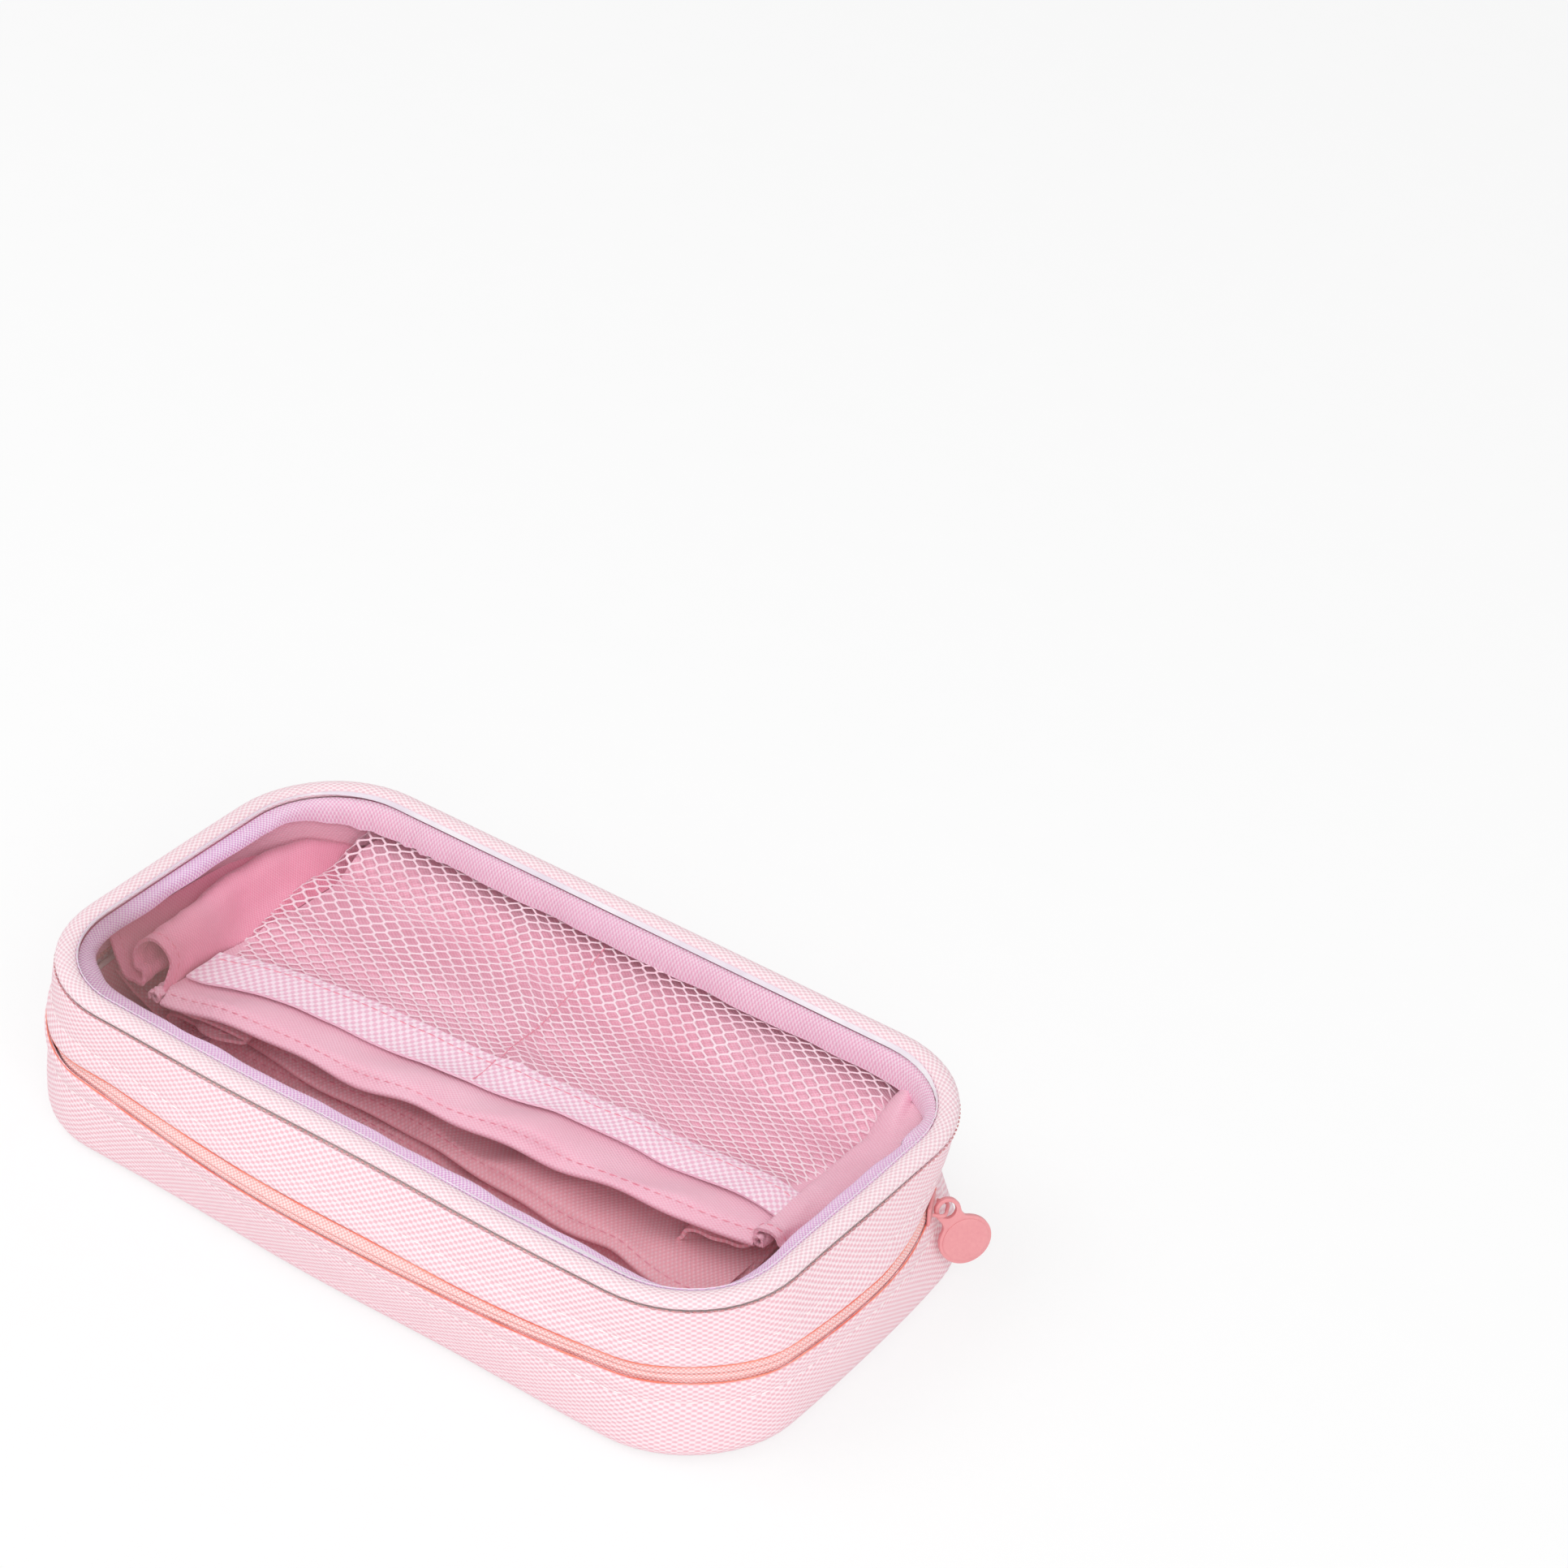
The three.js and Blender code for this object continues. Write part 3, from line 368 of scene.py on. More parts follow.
def cloth_slab(name, sheet, thickness, material, wrap=False, thread=1.0, sharp=60):
    """A sheet with a thickness round a grid of middle points, with its two faces and its flat size."""
    sheet = np.asarray(sheet, float)
    rows, count = sheet.shape[:2]
    half = np.broadcast_to(np.asarray(thickness, float) / 2, (rows, count))[..., None]
    normals = sheet_normals(sheet, wrap)
    top, under = sheet + normals * half, sheet - normals * half
    run = np.linalg.norm(np.roll(sheet, -1, axis=1) - sheet, axis=2).mean(axis=0)
    us = whole_threads(run, thread) if wrap else running_sum(run[:-1])
    vs = running_sum(np.linalg.norm(np.diff(sheet, axis=0), axis=2).mean(axis=1))
    # The rows go over the top, round the rim and back along the under side.
    over = list(zip(vs[:-1], vs[1:]))
    spans = (over + [(vs[-1], vs[-1] + RIM_UV)] + [span[::-1] for span in over[::-1]]
             + [(vs[0] + RIM_UV, vs[0])])
    faces, corners = grid_faces(2 * rows, count, us, spans)
    if not wrap:
        for i in (0, count - 1):
            for row, (low, high) in enumerate(over):
                far = 2 * rows - 1 - row
                loop = [at * count + i for at in (row, row + 1, far - 1, far)]
                box = [(us[i], low), (us[i], high), (us[i] + RIM_UV, high), (us[i] + RIM_UV, low)]
                faces.append(loop[::-1] if i else loop)
                corners.append(box[::-1] if i else box)
    piece = add_piece(name, np.concatenate([top, under[::-1]]), faces, corners, material, sharp)
    return piece, top, under, (vs[-1] * MM, us[-1] * MM)


def soft_line(points, count):
    """A smooth line through points, given again as count points equally far apart."""
    points = np.asarray(points, float)
    ends = np.concatenate([[2 * points[0] - points[1]], points, [2 * points[-1] - points[-2]]])
    fine = []
    for i in range(1, len(ends) - 2):
        before, start, stop, after = ends[i - 1:i + 3]
        for t in np.linspace(0, 1, 12, endpoint=False):
            fine.append(0.5 * (2 * start + (stop - before) * t
                               + (2 * before - 5 * start + 4 * stop - after) * t ** 2
                               + (3 * start - before - 3 * stop + after) * t ** 3))
    fine = np.array(fine + [points[-1]])
    length = running_sum(np.linalg.norm(np.diff(fine, axis=0), axis=1))
    places = np.linspace(0, length[-1], count)
    return np.stack([np.interp(places, length, fine[:, k]) for k in range(points.shape[1])], axis=1)


def curve_through(points, x):
    """The height at x of a smooth line through points, given from left to right."""
    line = soft_line(points, 240)
    return np.interp(x, line[:, 0], line[:, 1])


def creases(u, v, seed, size):
    """Soft creases from -1 to 1 over two coordinates in millimetres, the same for the same seed."""
    chance = np.random.default_rng(seed)
    total = np.zeros(np.broadcast(u, v).shape)
    for _ in range(7):
        angle, phase = chance.uniform(0, math.pi), chance.uniform(0, 2 * math.pi)
        length = size * chance.uniform(0.6, 1.8)
        total = total + np.sin((u * math.cos(angle) + v * math.sin(angle)) * 2 * math.pi / length + phase)
    return total / 3.5


def grow(name, path, material, lay_copies, closed=False):
    """Sets copies along a bare path, given in millimetres, and keeps the result as a plain mesh.

    lay_copies adds the nodes that place them, and gives the last of these nodes."""
    count = len(path)
    seed = bpy.data.meshes.new(name)
    edges = [(i, (i + 1) % count) for i in range(count if closed else count - 1)]
    seed.from_pydata((np.asarray(path, float) * MM).tolist(), edges, [])
    piece = add_object(name, seed)
    tree = bpy.data.node_groups.new(name, "GeometryNodeTree")
    for way in ("INPUT", "OUTPUT"):
        tree.interface.new_socket("Geometry", in_out=way, socket_type="NodeSocketGeometry")
    whole = put(tree, "GeometryNodeRealizeInstances", {0: lay_copies(tree, put(tree, "NodeGroupInput"))})
    done = put(tree, "GeometryNodeSetMaterial", {0: whole, "Material": material})
    put(tree, "NodeGroupOutput", {0: done})
    making = piece.modifiers.new("grow", "NODES")
    making.node_group = tree
    shown = piece.evaluated_get(bpy.context.evaluated_depsgraph_get())
    mesh = bpy.data.meshes.new_from_object(shown)
    piece.modifiers.remove(making)
    piece.data = mesh
    mesh.name = name
    mesh.shade_smooth()
    return piece


def stitches(name, path, thread, body=None, *, pitch, length, radius, closed=False):
    """A row of oval beads, for machine stitches and for the turns of a zip coil."""
    def beads(tree, line):
        curve = put(tree, "GeometryNodeMeshToCurve", {0: line})
        spots = put(tree, "GeometryNodeCurveToPoints", {0: curve, "Length": pitch * MM}, mode="LENGTH")
        ball = put(tree, "GeometryNodeMeshUVSphere", {"Segments": 6, "Rings": 4, "Radius": 1.0})
        size = Vector((radius, radius, length / 2)) * MM
        bead = put(tree, "GeometryNodeTransform", {"Geometry": ball, "Scale": size})
        return put(tree, "GeometryNodeInstanceOnPoints", {
            "Points": spots.outputs["Points"], "Instance": bead, "Rotation": spots.outputs["Rotation"]})

    piece = grow(name, settle(np.asarray(path, float)), thread, beads, closed)
    if body:
        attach(piece, body)
    return piece


# The case's plans at its foot, at the zip and at the window's seam: half length, half width, corner
# radius, and how far the front, the ends and the back bow out.
FOOT = np.array([109.1, 59.4, 29.0, 1.5, 1.9, -0.1])
PARTING = np.array([104.5, 54.8, 21.6, 11.5, 8.2, 4.5])
SEAM = np.array([107.5, 57.8, 30.7, 0.0, 0.0, 0.0])
FOOT_RADIUS, PARTING_HEIGHT, SEAM_HEIGHT = 5.0, 25.0, 43.4
CORNER_STEPS, LONG_STEPS, SHORT_STEPS = 12, 60, 34


def plan_at(height):
    if height <= PARTING_HEIGHT:
        return between(FOOT, PARTING, max((height - FOOT_RADIUS) / (PARTING_HEIGHT - FOOT_RADIUS), 0))
    return between(PARTING, SEAM, (height - PARTING_HEIGHT) / (SEAM_HEIGHT - PARTING_HEIGHT))


def outline(plan, inset):
    """Points round a plan drawn in by inset, anticlockwise from the right end's back corner."""
    half_length, half_width, corner = plan[:3] - inset
    run_x, run_y = half_length - corner, half_width - corner
    arcs = []
    for quarter, (side_x, side_y) in enumerate(((1, 1), (-1, 1), (-1, -1), (1, -1))):
        angle = (quarter + np.arange(CORNER_STEPS + 1) / CORNER_STEPS) * math.pi / 2
        arcs.append(np.column_stack([side_x * run_x + corner * np.cos(angle),
                                     side_y * run_y + corner * np.sin(angle)]))
    flat = []
    for quarter, arc in enumerate(arcs):
        steps = SHORT_STEPS if quarter % 2 else LONG_STEPS
        flat += [arc, between(arc[-1], arcs[(quarter + 1) % 4][0], np.arange(1, steps)[:, None] / steps)]
    x, y = np.concatenate(flat).T
    near_y = np.clip((np.abs(y) - run_y) / corner, 0, None)
    near_x = np.clip((np.abs(x) - run_x) / corner, 0, None)
    along_x = np.abs(x) / half_length
    # The ends bow out most a little in front of their middle.
    from_crest = y / plan[1] + 0.082
    fade = np.where(from_crest > 0, 0.628, 0.918)
    back = plan[5] * (1 - along_x ** 8) * near_y
    front = plan[3] * (1 - along_x ** 2) * near_y
    side = plan[4] * (1 - (from_crest / fade) ** 2) * near_x
    return np.stack([x + np.sign(x) * side, np.where(y > 0, y + back, y - front)], axis=1)


def ring_at(height, inset, plan=None):
    flat = outline(plan_at(height) if plan is None else plan, inset)
    return np.column_stack([flat, np.full(len(flat), height)])


def end_wall(y, height):
    """How far out along X the lining of an end wall stands at a given depth and height."""
    points = outline(plan_at(height), LINING_INNER)
    right = points[points[:, 0] > 0]
    order = np.argsort(right[:, 1])
    return np.interp(y, right[order, 1], right[order, 0])


# How far the canvas edges have closed over the zip, by the direction from the case's middle, in
# degrees. They meet at the left front corner and draw near again on the right-hand end wall.
LIP_TURNS = [-180, -158, -151, -146, -139, -120, -78, -55, -38, -25, -12, 0, 8, 12, 25, 60, 150, 168, 180]
LIP_CLOSED = [0.95, 1, 0.9, 0.55, 0.15, 0, 0, 0.25, 0.32, 0.2, 0.3, 0.42, 0.2, 0, 0, 0, 0, 0.8, 0.95]


def lip_ring(height, inset):
    """A ring of the canvas or of its edge's thread, moved over the zip where the edges have closed."""
    ring, out = ring_at(height, inset), ring_at(height, inset - 1.35)
    turn = np.degrees(np.arctan2(ring[:, 1], ring[:, 0]))
    near = 1 - smooth_step(3, 9, abs(height - PARTING_HEIGHT))
    share = (np.interp(turn, LIP_TURNS, LIP_CLOSED) * near)[:, None]
    moved = between(ring, out, share)
    if inset < 0:
        # The walls don't belly along the spine, where lid and base lean on each other when open.
        moved += (ring_at(height, 0.02) - ring) * smooth_step(40, 52, ring[:, 1])[:, None]
    moved[:, 2] += math.copysign(2.45, PARTING_HEIGHT - height) * share[:, 0]
    return moved


# The layers' insets, and the heights at which the base's walls end and the lid's begin and end.
CANVAS_INNER, FOAM_OUTER, FOAM_INNER, LINING_OUTER, LINING_INNER = 1.0, 1.3, 3.1, 3.4, 4.0
BASE_RIM, LID_RIM, LID_TOP = 22, 28, 41.45

# The canvas's outer side as heights and insets: it bellies between its rows of stitches.
BASE_WALL = [(6.5, -0.1), (8.5, -0.25), (11, -0.42), (13.5, -0.45), (15.5, -0.35), (16.8, -0.15),
             (17.4, 0.02), (18.0, -0.15), (19.0, -0.32), (20.3, -0.36), (21.2, -0.28), (21.8, -0.05)]
LID_WALL = [(28.0, 0.2), (28.2, -0.05), (28.8, -0.28), (29.7, -0.36), (31.0, -0.32), (32.0, -0.15),
            (32.6, 0.02), (33.2, -0.12), (34.5, -0.22), (36.5, -0.22), (38.5, -0.1), (40.3, 0.0),
            (41.4, 0.02), (42.0, 0.3)]


def tray_rings(outer, inner, wall=None):
    """Rings of one layer of the base, up the outside and down the inside."""
    def foot(inset, share):
        angle, radius = share * math.pi / 2, FOOT_RADIUS - inset
        return ring_at(FOOT_RADIUS - radius * math.cos(angle), FOOT_RADIUS - radius * math.sin(angle), FOOT)

    place = lip_ring if wall else ring_at
    wall = wall or [(7, outer), (BASE_RIM - 0.5, outer)]
    shares, middle, thick = np.linspace(0, 1, 6), (outer + inner) / 2, inner - outer
    rings = [foot(outer, share) for share in shares] + [place(height, inset) for height, inset in wall]
    rings += [place(BASE_RIM, middle - 0.2 * thick), place(BASE_RIM, middle + 0.2 * thick)]
    rings += [place(BASE_RIM - 0.4, inner), place(BASE_RIM - 3, inner)]
    rings.append(ring_at((BASE_RIM + FOOT_RADIUS) / 2, inner))
    return rings + [foot(inner, share) for share in shares[::-1]]


def band_rings(outer, inner, low=LID_RIM, top=LID_TOP, wall=None):
    """Rings of one layer of the lid's wall, up the outside and down the inside."""
    place = lip_ring if wall else ring_at
    rings = [place(height, inset) for height, inset in wall or [(low, outer), (34, outer), (top, outer)]]
    return rings + [place(height, inner) for height in (top, (low + top) / 2, low + 3, low)]


for name, rings, material, thread in (
        ("base_canvas_cover", tray_rings(0, CANVAS_INNER, BASE_WALL), canvas, 1.2),
        ("base_foam_padding", tray_rings(FOAM_OUTER, FOAM_INNER), foam, 1.2),
        ("base_lining_cloth", tray_rings(LINING_OUTER, LINING_INNER), dotted_satin, 0.62),
        ("lid_canvas_cover", band_rings(0, CANVAS_INNER, 28.05, 41.85, LID_WALL), canvas, 1.2),
        ("lid_foam_padding", band_rings(FOAM_OUTER, FOAM_INNER), foam, 1.2),
        ("lid_lining_cloth", band_rings(LINING_OUTER, LINING_INNER), satin, 0.6)):
    body, layer = name.split("_")[:2]
    piece = ring_shell(name, rings, material, capped=body == "base", thread=thread)
    dress(piece, body, f"{body}_{layer}")


def zip_run(ring):
    """The part of a ring that the zip follows: all of it but the straight run of the back."""
    start = CORNER_STEPS + LONG_STEPS
    return np.concatenate([ring[start:], ring[:CORNER_STEPS + 1]])


def drawn_along(lines, name, material, **options):
    """A strip whose section is given by lines that all follow the zip's run."""
    return ring_shell(name, np.array(lines).transpose(1, 0, 2), material, capped=True, **options)


# The tape's section as insets and distances from the parting: it is recessed beside the canvas, and
# rises to a ridge over the coil.
TAPE = [(0.55, 2.6), (0.45, 2.1), (0.45, 1.5), (0.22, 1.25), (0.02, 0.95), (-0.04, 0.65), (0.08, 0.34),
        (0.4, 0.15), (0.9, 0.15), (0.9, 2.6)]
# Distances from the parting: the coil, the orange-red cord that paints the shadow under the canvas's folded
# edge, the hem's stitches.
COIL_AWAY, SEAM_SHADOW_AWAY, TOPSTITCH_AWAY = 0.62, 2.78, 7.6
SIDES = (("base", -1), ("lid", 1))
UP = np.array([0, 0, 1.0])

for body, side in SIDES:
    lines = [zip_run(ring_at(PARTING_HEIGHT + side * away, inset)) for inset, away in TAPE]
    tape = drawn_along(lines, f"{body}_zip_tape_woven", zip_tape, thread=0.5, swap=True)
    dress(tape, body, f"{body}_zip_tape")

# The coil's turns are 0.9 mm apart in life, and are drawn 1.25 mm apart so that each shows.
for body, side in SIDES:
    path = zip_run(ring_at(PARTING_HEIGHT + side * COIL_AWAY, 1.8))
    coil = stitches(f"{body}_zip_coil_turns", path, zip_coil, pitch=1.25, length=0.95, radius=0.44)
    dress(coil, body, f"{body}_zip_coil")

# Along each seam between the canvas's fold and the tape lies an orange-red cord: painted shadow of the fold.
for body, side in SIDES:
    height = PARTING_HEIGHT + side * SEAM_SHADOW_AWAY
    middle = zip_run(lip_ring(height, 0.2))
    away = zip_run(lip_ring(height, -0.8)) - middle
    length = np.arange(len(middle)) * 2.6
    thick = 0.16 + 0.07 * np.sin(length / 1.9) * np.sin(length / 6.1)
    lines = [middle + away * (thick * math.cos(angle))[:, None] + np.outer(thick * math.sin(angle), UP)
             for angle in full_turn(6)]
    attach(drawn_along(lines, f"{body}_zip_seam_shadow_cord", seam_shadow_cord), body)

for body, side in SIDES:
    path = zip_run(lip_ring(PARTING_HEIGHT + side * TOPSTITCH_AWAY, -0.03))
    stitches(f"{body}_topstitches", path, white_thread, body, pitch=3.4, length=2.3, radius=0.15)

# The piping is a rolled cord of canvas on the window's seam.
PIPING_INSET, PIPING_WIDE, PIPING_TALL = 2.8, 5.3, 3.1
rings = []
for angle in -2 * math.pi * np.arange(24) / 24:
    inset = PIPING_INSET + PIPING_WIDE / 2 * math.cos(angle)
    rings.append(ring_at(SEAM_HEIGHT + PIPING_TALL / 2 * math.sin(angle), inset, SEAM))
dress(ring_shell("window_piping_roll", rings, piping_canvas, thread=1.0), "lid", "window_piping")

# Stitches show in the groove under the piping and on its inner side.
# The groove's stitches are real, but their dim brownish rose colour is painted shade from the piping over
# them.
stitches("window_groove_stitches", ring_at(42.3, 0.1, SEAM), groove_shade_thread, "lid", pitch=1.55, length=1.1,
         radius=0.22, closed=True)
stitches("window_inner_stitches", ring_at(44.35, 5.42, SEAM), grosgrain, "lid", pitch=2.4, length=1.7,
         radius=0.14, closed=True)

PANE_INSET, PANE_FOOT, PANE_TOP = 5.75, 43.2, 43.7
insets = [PANE_INSET, 6.4, 7.5, 9.5, 13, 18, 24, 29]
rings = [ring_at(PANE_FOOT, inset, SEAM) for inset in insets[::-1]]
rings += [ring_at(PANE_TOP, inset, SEAM) for inset in insets]
dress(ring_shell("window_film", rings, window_film, capped=True, sharp=80), "lid", "window_pane")


def inward_at(height, inset):
    """The ring at an inset, and its unit step inwards."""
    start = ring_at(height, inset, SEAM)
    return start, ring_at(height, inset + 1, SEAM) - start


# The film's folded edge stands up against the piping. It is drawn widest along the back and near the
# right-hand front corner, where its milky white is painted highlight for the glare on the film there.
around_x, around_y = outline(SEAM, PANE_INSET).T
painted_highlight_widen = smooth_step(40, 53, around_y) + np.exp(-((around_x - 62) / 26) ** 2) * (around_y < 0)
edge_width = 0.2 + 1.1 * np.clip(painted_highlight_widen, 0, 1)
start, inward = inward_at(44.45, 5.45)
rows = [start + inward * (edge_width * share)[:, None] - UP * 0.5 * share
        for share in np.linspace(0, 1, 4)]
dress(cloth_slab("window_film_edge", rows, 0.22, milky_film, wrap=True)[0], "lid")

# The ribbon lies nearly flat along the front, and hangs along the back, where it is gathered at the
# left-hand corner.
hang = smooth_step(30, 53, around_y)
at_left = smooth_step(-90, -100, around_x) * (1 - hang)
at_end = smooth_step(88, 99, np.abs(around_x)) * (1 - hang)
gather = np.exp(-((around_x + 78) / 17) ** 2) * (around_y > 20)
tucked = np.exp(-((around_x - 88) ** 2 + (around_y + 42) ** 2) / 330)
width = (4.6 - 0.9 * at_end - 2.2 * hang) * (1 - 0.6 * tucked)
drop = 0.7 + 6.7 * hang + 1.6 * at_left
length = running_sum(np.hypot(np.diff(around_x), np.diff(around_y)))
ripple = (0.28 * np.sin(length / 3.1) * np.sin(length / 13.7 + 1) + 0.22 * np.sin(length / 6.3 + 2)
          + gather * 0.9 * np.sin(length / 0.8 + 0.8 * np.sin(length / 3.3)))
start, inward = inward_at(42.9, PANE_INSET)
rows = []
for share in np.linspace(0, 1, 9):
    across = width * math.sin(share * math.pi / 2) ** 0.9 + ripple * share
    down = drop * share ** (1.3 + 1.6 * at_left) + 0.35 * math.sin(share * math.pi) * np.sin(length / 8.8)
    rows.append(start + inward * across[:, None] - np.outer(down + 0.2, UP))
ribbon = cloth_slab("window_ribbon_grosgrain", rows, 0.4, grosgrain, wrap=True, thread=0.55)[0]
dress(ribbon, "lid", "window_ribbon")

# The spine is a roll of canvas whose edge laps over itself.
SPINE_Y, SPINE_Z, SPINE_RADIUS, SPINE_HALF = 59.5, 25.0, 2.5, 80.5
rows = []
for x in np.linspace(-SPINE_HALF, SPINE_HALF, 60):
    end = min(abs(abs(x) - SPINE_HALF), 0.6) / 0.6
    angle = full_turn(24)
    lapped = SPINE_RADIUS - 0.25 + 0.25 * smooth_step(0, 0.35, angle)
    radius = lapped * (0.86 + 0.14 * math.sqrt(end)) + 0.06 * math.sin(x / 4.3)
    rows.append(np.column_stack([np.full(24, x), SPINE_Y + radius * np.sin(angle),
                                 SPINE_Z - radius * np.cos(angle)]))
spine = ring_shell("spine_canvas_roll", rows, piping_canvas, capped=True, thread=1.0, swap=True)
dress(spine, "base", "spine_roll")

# The dividers' rest angles, by how far their hems lie below or above the spine, and half widths.
DIVIDER_REACH = 79.0
ANGLES = {name: math.asin(rise / DIVIDER_REACH) for name, rise in (
    ("front_divider", -18.4), ("middle_divider", -10.994), ("mesh_divider", 2.76))}
HALF_WIDTH = {"front_divider": 80.0, "middle_divider": 80.5, "mesh_divider": 82.5}
FRONT_ANGLE, MIDDLE_ANGLE, MESH_ANGLE = ANGLES.values()
ROOT_REACH, ROOT_LENGTH = 3.0, 19.9

# The board begins past the root and stops short of the hem's stitches. The hem is folded round a
# small radius.
BOARD_START, BOARD_SHORT, HEM_STITCHES, HEM_FOLD = 21.0, 4.2, 2.4, 0.62

# The shut case has pushed the mesh divider's hem and its webbing askew, towards the left-hand end.
# Lines of (x, reach from the spine).
HEMS = {
    "middle_divider": [(-92, 74), (-68, 75.4), (-46, 79.0), (-20, 76.8), (10, 79.4), (30, 80.6), (48, 80.2),
                       (62, 82), (92, 81)],
    "mesh_divider": [(-92, 89.9), (-83, 89.3), (-55, 85.3), (-34, 83.6), (7, 79.3), (43, 75.4), (67, 72.0),
                     (83, 68.2), (92, 67)]}
WEBBING_FRONT = [(-92, 83), (-78, 80.2), (-68, 75.6), (-48, 72.6), (0, 68.0), (23, 63.9), (70, 60.7),
                 (84, 60.9), (92, 61)]
WEBBING_BACK = [(-92, 71), (-79, 68.0), (-58, 61.4), (-3, 56.8), (63, 51.5), (84, 51.8), (92, 52)]


def on_plane(angle, reach, x, lift):
    """Places at a reach from the spine and a lift off a divider's plane, in its rest position."""
    reach, x, lift = np.broadcast_arrays(*(np.asarray(v, float) for v in (reach, x, lift)))
    y = SPINE_Y - reach * math.cos(angle) + lift * math.sin(angle)
    z = SPINE_Z + reach * math.sin(angle) + lift * math.cos(angle)
    return np.stack([x, y, z], axis=-1)


def hem_reach(name, x):
    """How far out a divider's hem lies at x."""
    x = np.asarray(x, float)
    wave = 0.3 * np.sin(x / 5.1 + 0.7) + 0.35 * np.sin(x / 12.3 + 2)
    if name == "front_divider":
        return DIVIDER_REACH + 0.9 * wave + 0.9 * np.sin(x / 21 + 1)
    return curve_through(HEMS[name], x) + wave * (1.0 if name == "mesh_divider" else 0.8)


def board_reach(name, x):
    return hem_reach(name, x) - BOARD_SHORT


def divider_lift(name, x, reach):
    """How the cloth past the board's edge waves up and down."""
    edge, seed = board_reach(name, x), list(ANGLES).index(name)
    slow = 0.75 * np.sin(x / 8.6 + 0.9 * seed) + 0.45 * np.sin(x / 4.3 + 2 * seed)
    return smooth_step(edge - 0.5, edge + 4, reach) * slow


def slack(name, x, reach):
    """How far the upper cloth stands off the board, in soft folds that run with the hem."""
    edge, seed = board_reach(name, x), list(ANGLES).index(name)
    folds = 0.5 + 0.5 * np.sin((reach + 0.10 * x) / 3.1 + 0.8 * np.sin(x / 27 + seed) + seed)
    fans = 0.5 + 0.5 * np.sin(x / 9.7 + reach / 19 + 1.3 * seed)
    loose = smooth_step(edge - 14, edge - 3, reach)
    fans = fans + loose * (0.9 + 0.9 * np.sin(x / 5.9 + reach / 7 + 0.8 * np.sin(x / 11)))
    rise = smooth_step(22, 55, reach) * (1 - smooth_step(edge, edge + 3.5, reach))
    folded = rise * (folds + 0.75 * fans + 0.2 * creases(x, reach, 11 + seed, 12))
    if name == "mesh_divider":
        # Near the root the cloth under the net billows.
        folded = folded + 6.0 * smooth_step(27, 13, reach) * smooth_step(2.9, 4.8, reach)
    return folded


def sleeve(name, material, thread):
    """Lining folded over a board, the hem and back, with a row of stitches along the hem."""
    half_width, angle = HALF_WIDTH[name], ANGLES[name]
    board_xs = np.linspace(1.5 - half_width, half_width - 1.5, 60)
    rows = [on_plane(angle, reach, board_xs, 0) for reach in (BOARD_START, board_reach(name, board_xs))]
    stiff = cloth_slab(f"{name}_stiff_board", rows, 0.5, board, sharp=30)[0]
    dress(stiff, name, f"{name}_board")

    xs = np.linspace(-half_width, half_width, 240)
    shares = np.concatenate([np.linspace(0, 0.8, 26), np.linspace(0.83, 0.955, 6),
                             [0.962, 0.97, 0.98, 0.99]])
    hem = hem_reach(name, xs)
    arms = []
    for sign in (1, -1):
        arm = []
        for share in shares:
            reach = between(ROOT_REACH, hem - 0.55, share)
            half = 0.10 + 0.54 * smooth_step(ROOT_REACH, ROOT_LENGTH, reach)
            puff = slack(name, xs, reach) if sign > 0 else 0
            pucker = 0.1 * np.sin(xs * 2.1 + np.sin(xs / 3)) * smooth_step(hem - 6, hem - HEM_STITCHES, reach)
            lift = sign * (half + puff) + pucker + divider_lift(name, xs, reach)
            arm.append(on_plane(angle, reach, xs, lift))
        arms.append(arm)
    turned = []
    for turn in np.radians(np.linspace(60, -60, 5)):
        reach = hem - HEM_FOLD + HEM_FOLD * math.cos(turn)
        turned.append(on_plane(angle, reach, xs, HEM_FOLD * math.sin(turn) + divider_lift(name, xs, reach)))
    doubled = np.concatenate([shares > 0.958, [True] * 5, shares[::-1] > 0.958])
    thick = 0.3 + 0.3 * doubled[:, None] + np.zeros((1, len(xs)))
    piece, _, _, flat = cloth_slab(f"{name}_lining_sleeve", arms[0] + turned + arms[1][::-1], thick, material,
                                   thread=thread)
    dress(piece, name, f"{name}_sleeve")
    reach = hem - HEM_STITCHES
    seam = on_plane(angle, reach, xs, 0.98 + slack(name, xs, reach) + divider_lift(name, xs, reach))
    line = stitches(f"{name}_hem_stitches", seam[3:-3], rose_thread, name, pitch=3.0, length=2.3, radius=0.2)


for name, material, thread in (("front_divider", dotted_satin, 0.62), ("middle_divider", dotted_satin, 0.62),
                               ("mesh_divider", satin, 0.6)):
    sleeve(name, material, thread)


def pocket_lift(x, reach):
    """How high the net lies: over the lining's folds, humped near the back left-hand corner, and drawn
    up to the lid's binding along the back."""
    y = SPINE_Y - reach
    crest = 3.2 * np.exp(-((y - 34 - 0.06 * x) / 8.5) ** 2) * (0.3 + 0.7 * smooth_step(30, -50, x))
    left_fold = 1.2 * np.exp(-(((x + 8) + 0.75 * (y - 18)) / 4.5) ** 2) * smooth_step(-6, 8, y)
    right_fold = 0.9 * np.exp(-(((x - 26) + 0.6 * (y - 20)) / 6) ** 2) * smooth_step(-4, 10, y)
    drawn = 1.6 * smooth_step(40, 52.5, y + 1.5 * np.sin(x / 19))
    return (1.5 + crest + left_fold + right_fold + drawn + 0.3 * creases(x, reach, 5, 34)
            + slack("mesh_divider", x, reach) + divider_lift("mesh_divider", x, reach))


# The net's cells are 4.2 by 3.6 mm, as in life. Its knots stand upright in staggered rows, and each is
# joined to two knots of the next row.
COLUMNS, ROWS, CELL_WIDTH, CELL_HEIGHT, KNOT, STRAND_RADIUS = 39, 33, 4.2, 3.6, 0.7, 0.28
NET_FOOT, NET_HALF_WIDTH = 6.2, 81.5


